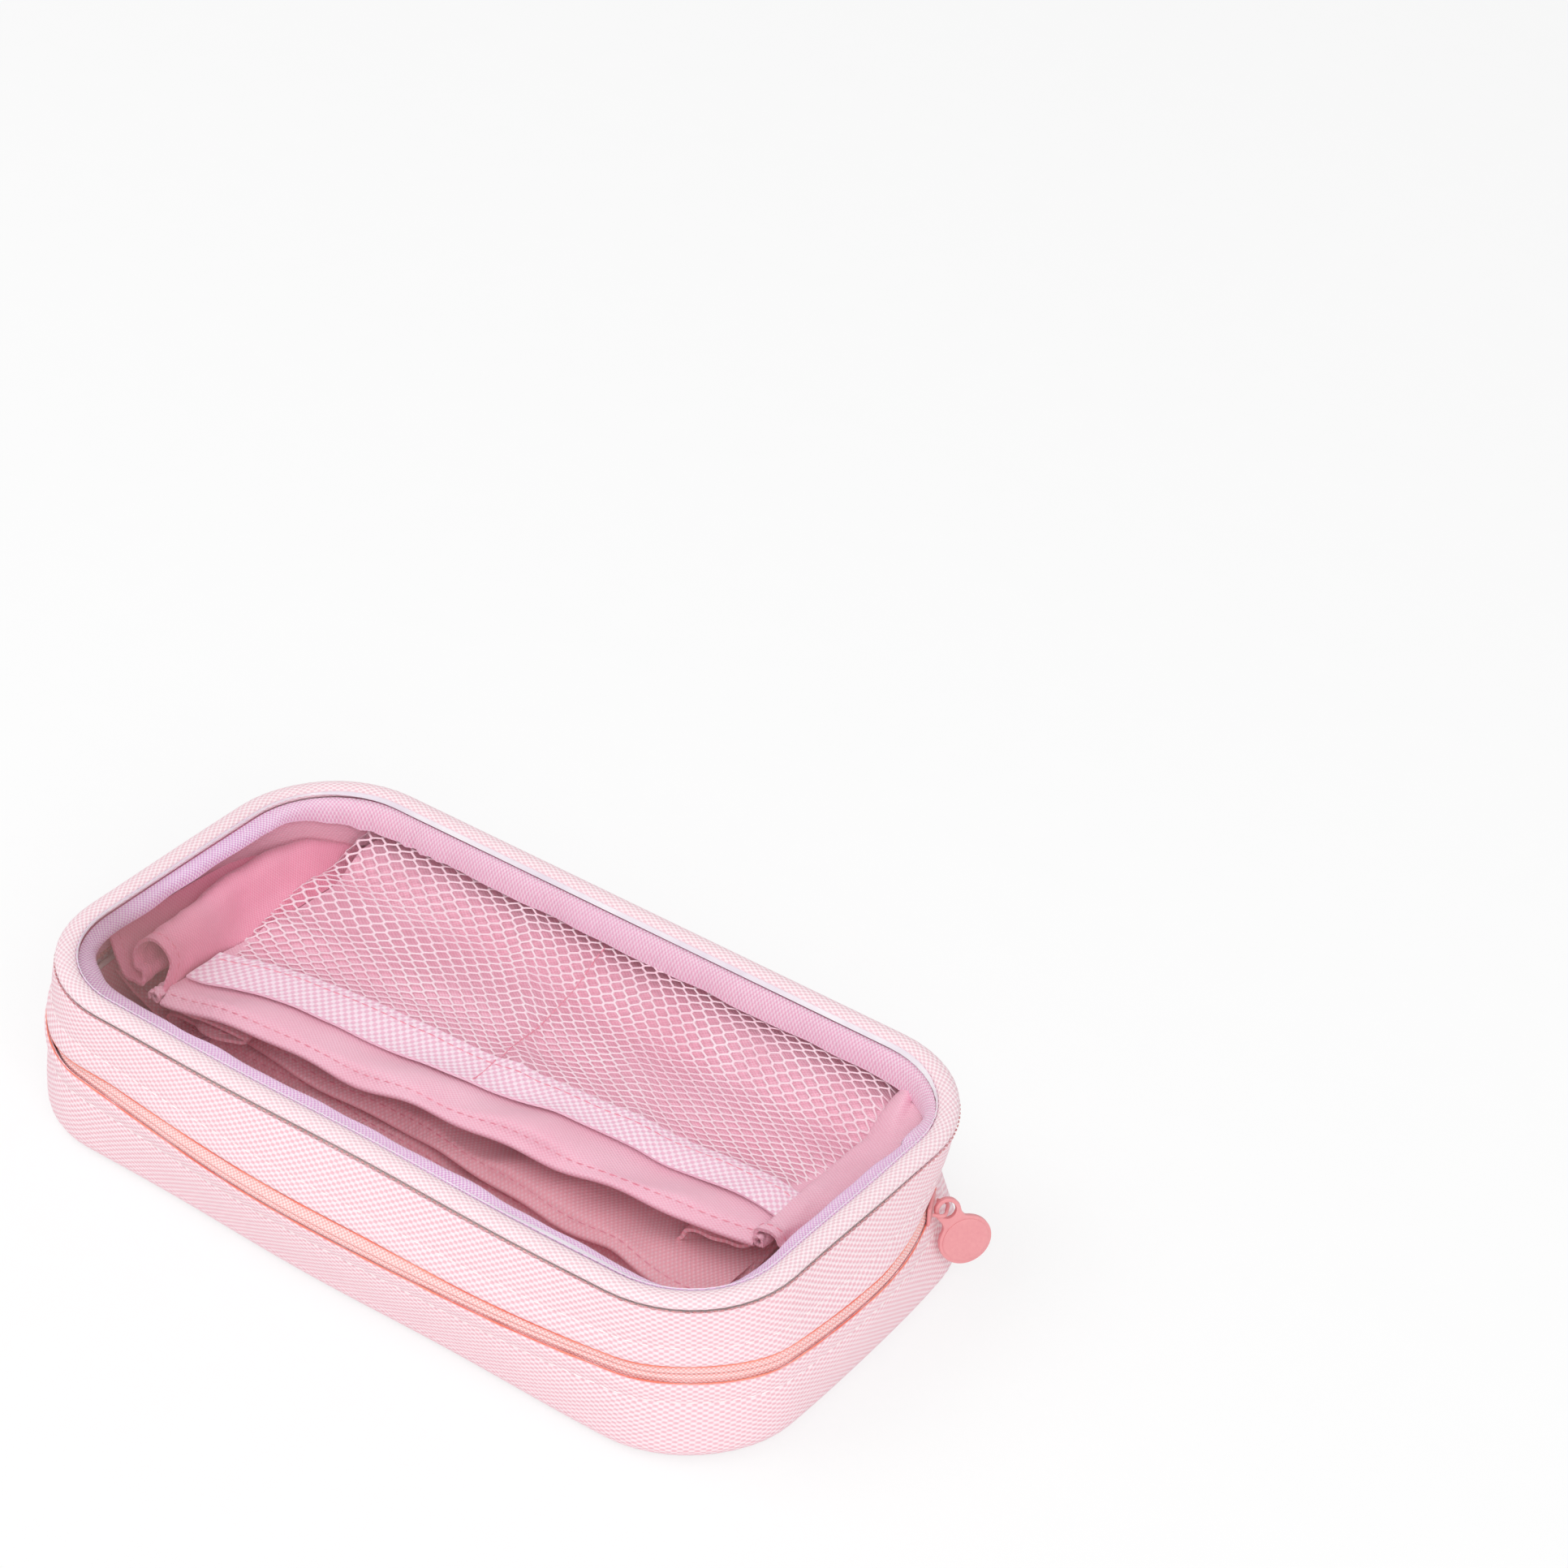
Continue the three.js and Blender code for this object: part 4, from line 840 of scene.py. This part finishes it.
def knitted(tree, knots):
    motif = put(tree, "GeometryNodeJoinGeometry")
    rise = (CELL_HEIGHT - KNOT) / 2
    for start, end_x, end_y, radius in ((KNOT / 2, CELL_WIDTH / 2, rise, STRAND_RADIUS),
                                        (KNOT / 2, -CELL_WIDTH / 2, rise, STRAND_RADIUS),
                                        (-KNOT / 2, 0, KNOT / 2, 1.5 * STRAND_RADIUS)):
        line = put(tree, "GeometryNodeCurvePrimitiveLine", {
            "Start": (0, start * MM, 0), "End": (end_x * MM, end_y * MM, 0)})
        section = put(tree, "GeometryNodeCurvePrimitiveCircle", {"Resolution": 6, "Radius": radius * MM})
        tube = put(tree, "GeometryNodeCurveToMesh", {"Curve": line, "Profile Curve": section,
                                                     "Fill Caps": True})
        tree.links.new(tube.outputs[0], motif.inputs[0])
    return put(tree, "GeometryNodeInstanceOnPoints", {"Points": knots, "Instance": motif})


knots = [((column - (COLUMNS - 1) / 2 + row % 2 / 2) * CELL_WIDTH,
          (row - (ROWS - 1) / 2) * CELL_HEIGHT / 2, 0) for column in range(COLUMNS) for row in range(ROWS)]
net = grow("mesh_pocket_net_knitted", knots, net_yarn, knitted)
flat_net = np.empty(len(net.data.vertices) * 3)
net.data.vertices.foreach_get("co", flat_net)
flat_x, flat_y, flat_z = flat_net.reshape(-1, 3).T / MM
flat_x = flat_x - CELL_WIDTH / 4
share = flat_y / ((ROWS - 1) * CELL_HEIGHT / 2) + 0.5
webbing_middle = (curve_through(WEBBING_FRONT, flat_x) + curve_through(WEBBING_BACK, flat_x)) / 2
reach = between(webbing_middle, NET_FOOT, share)
# Towards the back the net bulges out past the ends of the divider.
y = SPINE_Y - reach
x = flat_x - 7.5 * smooth_step(-25, -82, flat_x) * smooth_step(-12, 26, y)
x = x + 2.5 * smooth_step(25, 82, x) * smooth_step(12, 34, y)
# The ends of its strands are tucked under the rolled cloth.
bared = smooth_step(-0.5, 4.5, NET_HALF_WIDTH - np.abs(flat_x))
lift = 0.5 + (pocket_lift(x, reach) - 0.5) * bared + 0.6 * flat_z
placed = settle(on_plane(MESH_ANGLE, reach, x, lift))
net.data.vertices.foreach_set("co", (placed * MM).ravel())
net.data.update()
dress(net, "mesh_divider", "mesh_pocket_net")

xs = np.linspace(-NET_HALF_WIDTH, 84.0, 120)
front, back = curve_through(WEBBING_FRONT, xs), curve_through(WEBBING_BACK, xs)
rows = []
for share in np.linspace(0, 1, 9):
    reach = between(back, front, share)
    rows.append(on_plane(MESH_ANGLE, reach, xs,
                         pocket_lift(xs, reach) + 0.55 + 0.3 * math.sin(math.pi * share)))
tape = cloth_slab("mesh_pocket_webbing", rows, 0.7, webbing)[0]
dress(tape, "mesh_divider", "mesh_pocket_tape")


def pocket_row(name, xs, reach, above, pitch, length):
    path = on_plane(MESH_ANGLE, reach, xs, pocket_lift(xs, reach) + above)
    return stitches(f"mesh_pocket_{name}", path, rose_thread, "mesh_divider", pitch=pitch, length=length,
                    radius=0.2)


down = np.linspace(0, 1, 40)
sewn = [pocket_row("webbing_stitches", xs[2:-2], back[2:-2] + 2.6, 1.1, 2.8, 2.3),
        pocket_row("centre_seam", -2.4 - 4.4 * down, 57 - 45 * down, 0.45, 2.4, 2.3),
        pocket_row("bar_tack", np.linspace(-2.8, -2.2, 8), np.linspace(58.5, 67, 8), 1.15, 1.0, 1.2)]

# The cloths at the ends are lofted outwards from here, through lines at shares of the way to the hem.
LOW_PLANE, HIGH_PLANE = (FRONT_ANGLE + MIDDLE_ANGLE) / 2, (MIDDLE_ANGLE + MESH_ANGLE) / 2
CLOTH_START, ROLL_START, BASE_TOP, ROLL_TOP, ROLL_X = 18.0, 8.0, 19.8, 33, 83.0


def base_gusset_line(side, share):
    """From the front divider's end, sagging, then up the base's end wall."""
    reach = between(CLOTH_START, 78.5, share)
    wall = end_wall(SPINE_Y - reach * math.cos(FRONT_ANGLE), BASE_TOP) - 0.7
    start_lift = -0.6
    rim_lift = (BASE_TOP - SPINE_Z - reach * math.sin(FRONT_ANGLE)) / math.cos(FRONT_ANGLE)
    out = np.array([0, 0.15, 0.3, 0.45, 0.6, 0.75, 0.88, 1])
    lift = between(start_lift, rim_lift, out ** 2) - (4.5 - 3 * share) * np.sin(math.pi * out)
    return on_plane(FRONT_ANGLE, reach, side * between(80.4, wall, out), lift)


def low_pleat_line(side, share):
    """Out past the ends of the front and the middle divider, and back."""
    reach = between(CLOTH_START, 78.3, share)
    space = reach * math.tan((MIDDLE_ANGLE - FRONT_ANGLE) / 2) - 0.55
    out = np.array([0, 0.3, 0.65, 0.9, 1, 0.9, 0.65, 0.3, 0])
    up = np.array([-1, -0.95, -0.8, -0.55, 0, 0.55, 0.8, 0.95, 1])
    return on_plane(LOW_PLANE, reach, side * (80.6 + out * (12.4 if side > 0 else 11.8)), up * space)


# The tucked pleats' lines from the middle to the mesh divider's end: how far in, how far up in shares
# of the space, and how far the hem has gone from the lower divider's to the upper one's.
TUCKED = {
    -1: ((0, -1, 0), (0.4, -0.9, 0.1), (2.2, -0.5, 0.5), (5, -0.22, 0.7), (9, -0.2, 0.75), (13, -0.22, 0.7),
         (17, -0.14, 0.62), (19.4, 0.02, 0.58), (18, 0.2, 0.62), (14, 0.42, 0.72), (9, 0.62, 0.85),
         (4, 0.76, 0.96), (1, 0.84, 1), (0, 1, 1)),
    1: ((0, -1, 0), (0.6, -0.92, 0.05), (6, -0.94, 0.25), (12, -0.95, 0.45), (15.6, -0.95, 0.6),
        (17.6, -0.86, 0.7), (19.4, -0.72, 0.75), (18.2, -0.45, 0.78), (17.4, -0.05, 0.8),
        (14.5, 0.12, 0.85), (11, 0.02, 0.9), (7.5, 0.06, 0.97), (4.4, -0.06, 1.05), (2.4, 0.1, 1.15),
        (1.0, 0.5, 1.22), (0.3, 0.85, 1.2), (0, 1, 1.2))}


def high_pleat_line(side, share):
    """Round the ends of the middle and the mesh divider, and tucked in between them."""
    low_end = float(hem_reach("middle_divider", side * 80))
    high_end = float(hem_reach("mesh_divider", side * 82))
    points = []
    for inward, up, lean in TUCKED[side]:
        reach = between(CLOTH_START, between(low_end, high_end, lean) - 1.5, share)
        space = reach * math.tan((MESH_ANGLE - MIDDLE_ANGLE) / 2) - 0.6
        if share <= 0.5:
            up = between(up, math.copysign(min(abs(up) + 0.35, 0.86), up), 1 - 2 * share)
        points.append(on_plane(HIGH_PLANE, reach, side * (81.6 - inward), up * space))
    return points


# The left-hand roll's section at the back, where the net bulges over its foot, and at its open mouth.
ROLL_BACK = np.array([
    (0.2, 0.4), (3.0, 1.0), (6.0, 2.4), (8.4, 5.2), (10.6, 7.8), (13.2, 8.8), (15.6, 8.0), (16.8, 5.6),
    (16.2, 3.0), (14.4, 2.0), (12.2, 2.2), (11.2, 1.2), (12.2, 0.2), (14.2, 0.0), (16.2, 0.2)])
ROLL_MOUTH = np.array([
    (0.2, 0.4), (-0.3, 3.6), (0.3, 7.2), (1.8, 10.2), (4.2, 11.7), (7.2, 11.5), (10.4, 9.8), (12.4, 7.4),
    (12.8, 4.6), (10.8, 2.6), (8.2, 2.8), (6.6, 1.4), (7.4, 0.0), (10.4, -0.4), (14.0, 0.0)])


def roll_place(side, share, short):
    """The reach of a roll's line, how far out the lid's wall is there, and the share that has room."""
    end = float(hem_reach("mesh_divider", side * 82)) - short
    reach = between(ROLL_START, end, share)
    wall = end_wall(SPINE_Y - reach, ROLL_TOP) - 0.6
    return reach, wall, (wall - ROLL_X) / 18


def left_roll_line(side, share):
    """Up from the mesh divider's end, over in a round roll, down inside it, and out to the lid's wall."""
    reach, wall, room = roll_place(side, share, 1.2)
    full = min(0.72 + 0.28 * smooth_step(0, 0.35, share), room)
    out, up = between(ROLL_BACK, ROLL_MOUTH, smooth_step(0.45, 0.95, share)).T
    lean = (4.0 * smooth_step(0, 8, up) + 1.2 * smooth_step(4, 12, out)) * smooth_step(0.4, 1, share)
    points = on_plane(MESH_ANGLE, reach - lean, side * (ROLL_X + out * full), up * full)
    return [*points, on_plane(MESH_ANGLE, reach - 5, side * wall, 5.0)]


# The right-hand roll's section, at the back and where it is pinched flat.
FLAT_ROLL = np.array([(0.2, 0.4), (0.3, 2.0), (1.8, 3.8), (4.8, 5.0), (8.6, 5.8), (12.6, 6.4), (16.6, 6.8)])
PINCHED_ROLL = np.array([(0.2, 0.4), (-0.5, 1.8), (0.4, 3.4), (2.8, 4.2), (5.4, 3.6), (7.0, 1.8), (11, 1.2)])


def right_roll_line(side, share):
    """A flatter roll: up from the mesh divider's end, and out over its slack to the lid's wall."""
    reach, wall, room = roll_place(side, share, 0.5)
    pinch = smooth_step(0.45, 1, share)
    raised = 4.0 * (1 - smooth_step(0.1, 0.45, share))
    # It rises from the edge of the divider's upper cloth, which stands off the board near the root.
    edge = max(0.0, float(slack("mesh_divider", 82, reach)) - 0.8) * (1 - pinch)
    out = FLAT_ROLL[:, 0]
    x, lift = between(FLAT_ROLL, PINCHED_ROLL, pinch).T
    lift = lift + raised * smooth_step(0, 6, out) + edge * smooth_step(9, 1, out)
    under_net = 2.0 * smooth_step(3.0, 1.0, out) * (1 - pinch)
    points = on_plane(MESH_ANGLE, reach, side * (ROLL_X - under_net + x * min(1, room)), lift)
    return [*points, on_plane(MESH_ANGLE, reach, side * wall, 7.0 - 2.5 * pinch)]


def gusset(name, line_at, side, material, first, second, bend, seed):
    """A cloth lofted out from the spine, with a stitched hem, fixed where it is made. first, second and bend
    are not used.
    """
    count = 72
    shares = np.concatenate([np.linspace(0, 0.9, 26), np.linspace(0.92, 1, 8)])
    sheet = np.array([soft_line(line_at(side, share), count) for share in shares])
    run, out = np.linspace(0, 30, count)[None, :], (shares * 60)[:, None]
    loose = smooth_step(0, 6, np.minimum(np.arange(count), np.arange(count)[::-1]))
    waves = 0.28 * creases(run, out, seed, 11) + 0.16 * creases(run, out, seed + 50, 4.5) * shares[:, None]
    sheet = sheet + sheet_normals(sheet, False) * (waves * loose)[..., None]
    thick = 0.32 + 0.6 * smooth_step(0.945, 0.955, shares)[:, None] + np.zeros((1, count))
    piece, top, under, flat = cloth_slab(f"{name}_cloth", sheet, thick, material)
    hem = int(np.argmin(np.abs(shares - 0.965)))
    rows = [stitches(f"{name}_cloth_stitches{word}", face[hem, 2:-2], rose_thread, pitch=2.6, length=1.9,
                     radius=0.2) for word, face in (("", top), ("_under", under))]
    for part in [piece] + rows:
        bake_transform(part)
    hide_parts(name)


def across_plane(angle, half):
    """Two places on either side of a divider plane."""
    middle = on_plane(angle, 50, 0, 0)
    normal = np.array([0, math.sin(angle), math.cos(angle)]) * half
    return middle - normal, middle + normal


def corner_loop(name, side, body, size):
    """Where the cloths meet at a divider's corner they are pinched into a small stitched loop."""
    half_width = HALF_WIDTH[body]
    hem = float(hem_reach(body, side * half_width))
    turns = np.linspace(-0.3, 2 * math.pi * 1.15, 34)
    rows = []
    for turn in turns:
        radius = size * (1.0 - 0.5 * turn / turns[-1])
        x = half_width + 0.6 + size * 0.6 + radius * math.cos(turn)
        lift = 0.4 + radius * math.sin(turn)
        reach = np.linspace(hem - 5.5, hem + 0.6, 9) - 0.075 * turn
        bent = 0.35 * creases(turn * 2, reach, len(name), 2.5)
        lift = lift + bent + 0.15 * np.sin(reach * 1.3)
        rows.append(on_plane(ANGLES[body], reach, side * (x + bent), lift))
    piece, top, _, _ = cloth_slab(name, rows, 0.55, satin)
    dress(piece, body)
    stitches(f"{name}_stitches", top[2:24, -2], rose_thread, body, pitch=1.9, length=1.3, radius=0.13)


for side, word in ((-1, "left"), (1, "right")):
    # The left-hand roll takes the deeper rose lining, whose colour is painted shade.
    roll_line, roll_stuff = (left_roll_line, shaded_rose_satin) if side < 0 else (right_roll_line, satin)
    for part, *makings, seed in (
            ("base", base_gusset_line, side, dotted_satin, "base", "front_divider",
             ((side * 101, 0, 15), (side * 82, 0, 15)), 21),
            ("low_pleat", low_pleat_line, side, dotted_satin, "front_divider", "middle_divider",
             across_plane(LOW_PLANE, 0.5), 23),
            ("high_pleat", high_pleat_line, side, dotted_satin, "middle_divider", "mesh_divider",
             across_plane(HIGH_PLANE, 1.4), 27),
            ("lid", roll_line, side, roll_stuff, "mesh_divider", "lid",
             ((side * 85, 0, 30), (side * 101, 0, 30)), 31)):
        gusset(f"gusset_{word}_{part}", *makings, seed + side)
for side, word in ((-1, "left"), (1, "right")):
    for body, size in (("front_divider", 1.3), ("middle_divider", 1.4), ("mesh_divider", 1.6)):
        corner_loop(f"corner_loop_{word}_{body}", side, body, size)

# The slider travels round this axis, and stands at this angle at rest.
TRAVEL_AXIS, TRAVEL_RADIUS, TRAVEL_ANGLE = (36.692, -4.494), 76.008, math.radians(25.811)

# How far the bail's bar stands out, and the size of the plates.
BAR, PLATE_LONG, PLATE_WIDE, NOSE_WIDE = 4.45, 4.2, 2.5, 1.6


def at_slider(points):
    """From (out of the wall, along the zip, up) at the slider to the case."""
    out, along, up = np.asarray(points, float).reshape(-1, 3).T
    cos, sin = math.cos(TRAVEL_ANGLE), math.sin(TRAVEL_ANGLE)
    x = TRAVEL_AXIS[0] + (TRAVEL_RADIUS + out) * cos - along * sin
    y = TRAVEL_AXIS[1] + (TRAVEL_RADIUS + out) * sin + along * cos
    return np.column_stack([x, y, PARTING_HEIGHT + up])


def cast(name, rings, body, node=None, sharp=35):
    """A painted zinc piece."""
    piece = ring_shell(name, rings, painted_zinc, capped=True, settled=False, sharp=sharp)
    return dress(piece, body, node)


def slider_plate(name, low, high, node):
    """A plate with a narrower nose and rolled edges, as rings from its under side to its face."""
    low_corner, shoulder, nose = (-PLATE_LONG, -PLATE_WIDE), 1.2, (PLATE_LONG, NOSE_WIDE)
    corners = [low_corner, (shoulder, -PLATE_WIDE), (PLATE_LONG, -NOSE_WIDE), nose, (shoulder, PLATE_WIDE),
               (-PLATE_LONG, PLATE_WIDE), low_corner]
    shape = np.clip(soft_line(corners, 49)[:-1], low_corner, (PLATE_LONG, PLATE_WIDE))
    rings = [at_slider(np.column_stack([np.full(len(shape), depth), shape * shrink]))
             for depth, shrink in ((low, 0.9), (low + 0.1, 0.96), (low + 0.3, 1), (high - 0.3, 1),
                                   (high - 0.1, 0.96), (high, 0.9))]
    cast(name, rings, "slider", node)


slider_plate("slider_face_plate", 0.27, 1.15, "slider_body")
slider_plate("slider_back_plate", -4.1, -3.2, "slider_inner_plate")

# The bail is a low arch of round bar over the plate.
arch = soft_line([(1.5, -2.75), (2.9, -2.75), (4.0, -2.45), (4.4, -1.5), (BAR, 0), (4.4, 1.5), (4.0, 2.45),
                  (2.9, 2.75), (1.5, 2.75)], 40)
rings = []
for i, (out, along) in enumerate(arch):
    run = arch[min(i + 1, len(arch) - 1)] - arch[max(i - 1, 0)]
    run = run / np.linalg.norm(run)
    spread, up = 0.45 * np.cos(full_turn(10)), 0.45 * np.sin(full_turn(10))
    rings.append(at_slider(np.column_stack([out - run[1] * spread, along + run[0] * spread, up])))
cast("slider_bail_arch", rings, "slider", sharp=50)

# The pull tab: a loop, a short neck and a flat oval disc with a rim. Its loop's middle is at 0.
LOOP_RADIUS, HOLE_RADIUS, DISC, DISC_LONG, DISC_WIDE = 3.1, 2.1, 9.2, 6.0, 6.5


def tab_outline(inset):
    """The soft outer edge of the loop, the neck and the disc."""
    low, high = -LOOP_RADIUS + inset, DISC + DISC_LONG - inset
    x = (low + high) / 2 - (high - low) / 2 * np.cos(np.linspace(0, math.pi, 160))
    loop = np.sqrt(np.clip((LOOP_RADIUS - inset) ** 2 - x ** 2, 0, None))
    neck = np.where((x > 0) & (x < DISC), 2.7 + 0.45 * smooth_step(1.5, 5, x) - inset, 0)
    disc_x = np.clip((x - DISC) / (DISC_LONG - inset), -1, 1)
    disc = (DISC_WIDE - inset) * np.sqrt(1 - disc_x ** 2)
    softness = 9.0  # The higher it is, the sharper the corners where two outlines meet.
    half = (loop ** softness + neck ** softness + disc ** softness) ** (1 / softness)
    half[0] = half[-1] = 0
    return np.concatenate([np.column_stack([x, -half])[1:-1], np.column_stack([x, half])[::-1]])


def at_tab(points):
    """From the tab's own (along, across, through) to the case: hung on the bail and twisted a little."""
    along, across, through = np.asarray(points, float).T
    twist, hang = math.radians(60), math.radians(60)
    across, through = (across * math.cos(twist) - through * math.sin(twist),
                       across * math.sin(twist) + through * math.cos(twist))
    out = along * math.cos(hang) + through * math.sin(hang)
    up = -along * math.sin(hang) + through * math.cos(hang)
    return at_slider(np.column_stack([BAR + out, across, up]))


def oval(count, middle, long, wide, through):
    turn = full_turn(count)
    return np.column_stack([middle + long * np.cos(turn), wide * np.sin(turn), np.full(count, through)])


def pull_tab():
    """An outer edge and a hole's edge, both rounded, joined by two flat faces, and a pad on each face."""
    edge = ((0.3, 0.28, -0.75), (0.08, 0.06, -0.65), (0, 0, -0.45), (0, 0, 0.45), (0.08, 0.06, 0.65),
            (0.3, 0.28, 0.75))
    flats = [tab_outline(inset) for inset, _, _ in edge]
    rings = [np.column_stack([flat, np.full(len(flat), row[2])]) for flat, row in zip(flats, edge)]
    holes = [oval(48, 0, HOLE_RADIUS + flare, HOLE_RADIUS + flare, through) for _, flare, through in edge]
    points, faces = np.concatenate(rings + holes), []
    count, hole_base = len(rings[0]), len(edge) * len(rings[0])
    for size, base, step in ((count, 0, 1), (48, hole_base, -1)):
        quads = grid_faces(len(edge), size, range(size + 1), [(0, 0)] * (len(edge) - 1))[0]
        faces += [[base + i for i in quad][::step] for quad in quads]
    for level, flip in ((0, True), (len(edge) - 1, False)):
        outer = range(level * count, (level + 1) * count)
        inner = range(hole_base + level * 48, hole_base + (level + 1) * 48)
        order = [*outer, *inner]
        for triangle in tessellate_polygon([[Vector(points[i]) for i in loop] for loop in (outer, inner)]):
            a, b, c = (order[i] for i in triangle)
            upward = np.cross(points[b] - points[a], points[c] - points[a])[2] > 0
            faces.append([a, b, c] if upward != flip else [a, c, b])
    corners = [[tuple(points[i, :2]) for i in face] for face in faces]
    tab = add_piece("pull_tab_moulded", at_tab(points), faces, corners, painted_zinc, sharp=35,
                    settled=False)
    dress(tab, "pull_tab", "pull_tab")
    for sign, word in ((1, "face"), (-1, "back")):
        rings = [at_tab(oval(64, DISC, DISC_LONG - inset, DISC_WIDE - inset, sign * through))
                 for inset, through in ((0.75, 0.6), (0.78, 0.88), (0.9, 0.97), (1.2, 1.0))]
        cast(f"pull_tab_{word}_pad", rings, "pull_tab")


pull_tab()


def in_view(tree):
    """1 for what the camera, gloss and clear film see, and 0 for what lights the case."""
    path = put(tree, "ShaderNodeLightPath").outputs
    seen = put(tree, "ShaderNodeMath", {0: path["Is Camera Ray"], 1: path["Is Glossy Ray"]},
               operation="MAXIMUM")
    return put(tree, "ShaderNodeMath", {0: seen, 1: path["Is Transmission Ray"]}, operation="MAXIMUM")


def white_floor():
    """A plain white sweep, lifted to an even white where it is seen."""
    material, tree = new_finish("paper_backdrop_matt")
    grain = put(tree, "ShaderNodeTexNoise", {"Scale": 400.0})
    tone = put(tree, "ShaderNodeMapRange", {0: grain.outputs[0], 3: 0.90, 4: 0.93})
    matt = put(tree, "ShaderNodeBsdfDiffuse", {0: tone})
    glow = put(tree, "ShaderNodeEmission", {0: (1, 1, 1, 1), 1: 1.0})
    share = put(tree, "ShaderNodeMath", {0: in_view(tree), 1: 0.72}, operation="MULTIPLY")
    mixed = put(tree, "ShaderNodeMixShader", {0: share, 1: matt, 2: glow})
    put(tree, "ShaderNodeOutputMaterial", {0: mixed})
    mesh = bpy.data.meshes.new("paper_floor")
    mesh.from_pydata([(-3, -3, 0), (3, -3, 0), (3, 3, 0), (-3, 3, 0)], [], [(0, 1, 2, 3)])
    mesh.materials.append(material)
    add_object("paper_floor", mesh)


def soft_light():
    """An even white room with one broad lamp over the viewer's shoulder, and a weaker one at the left."""
    world = bpy.data.worlds.new("white_room")
    world.use_nodes = True
    tree = world.node_tree
    tree.nodes.clear()
    level = put(tree, "ShaderNodeMapRange", {0: in_view(tree), 3: 0.62, 4: 1.0})
    room = put(tree, "ShaderNodeBackground", {0: (1, 1, 1, 1), 1: level})
    put(tree, "ShaderNodeOutputWorld", {0: room})
    bpy.context.scene.world = world
    for name, place, power in (("lamp_left", (-0.7, -0.5, 1.3), 7),
                               ("lamp_shoulder", (1.0, -0.85, 1.0), 11)):
        lamp = bpy.data.lights.new(name, "AREA")
        lamp.energy, lamp.size = power, 1.0
        aim = (Vector((0, 0, 0.02)) - Vector(place)).to_track_quat("-Z", "Y")
        add_object(name, lamp).matrix_world = Matrix.Translation(place) @ aim.to_matrix().to_4x4()


white_floor()
soft_light()
bpy.context.scene.view_settings.view_transform = "Standard"
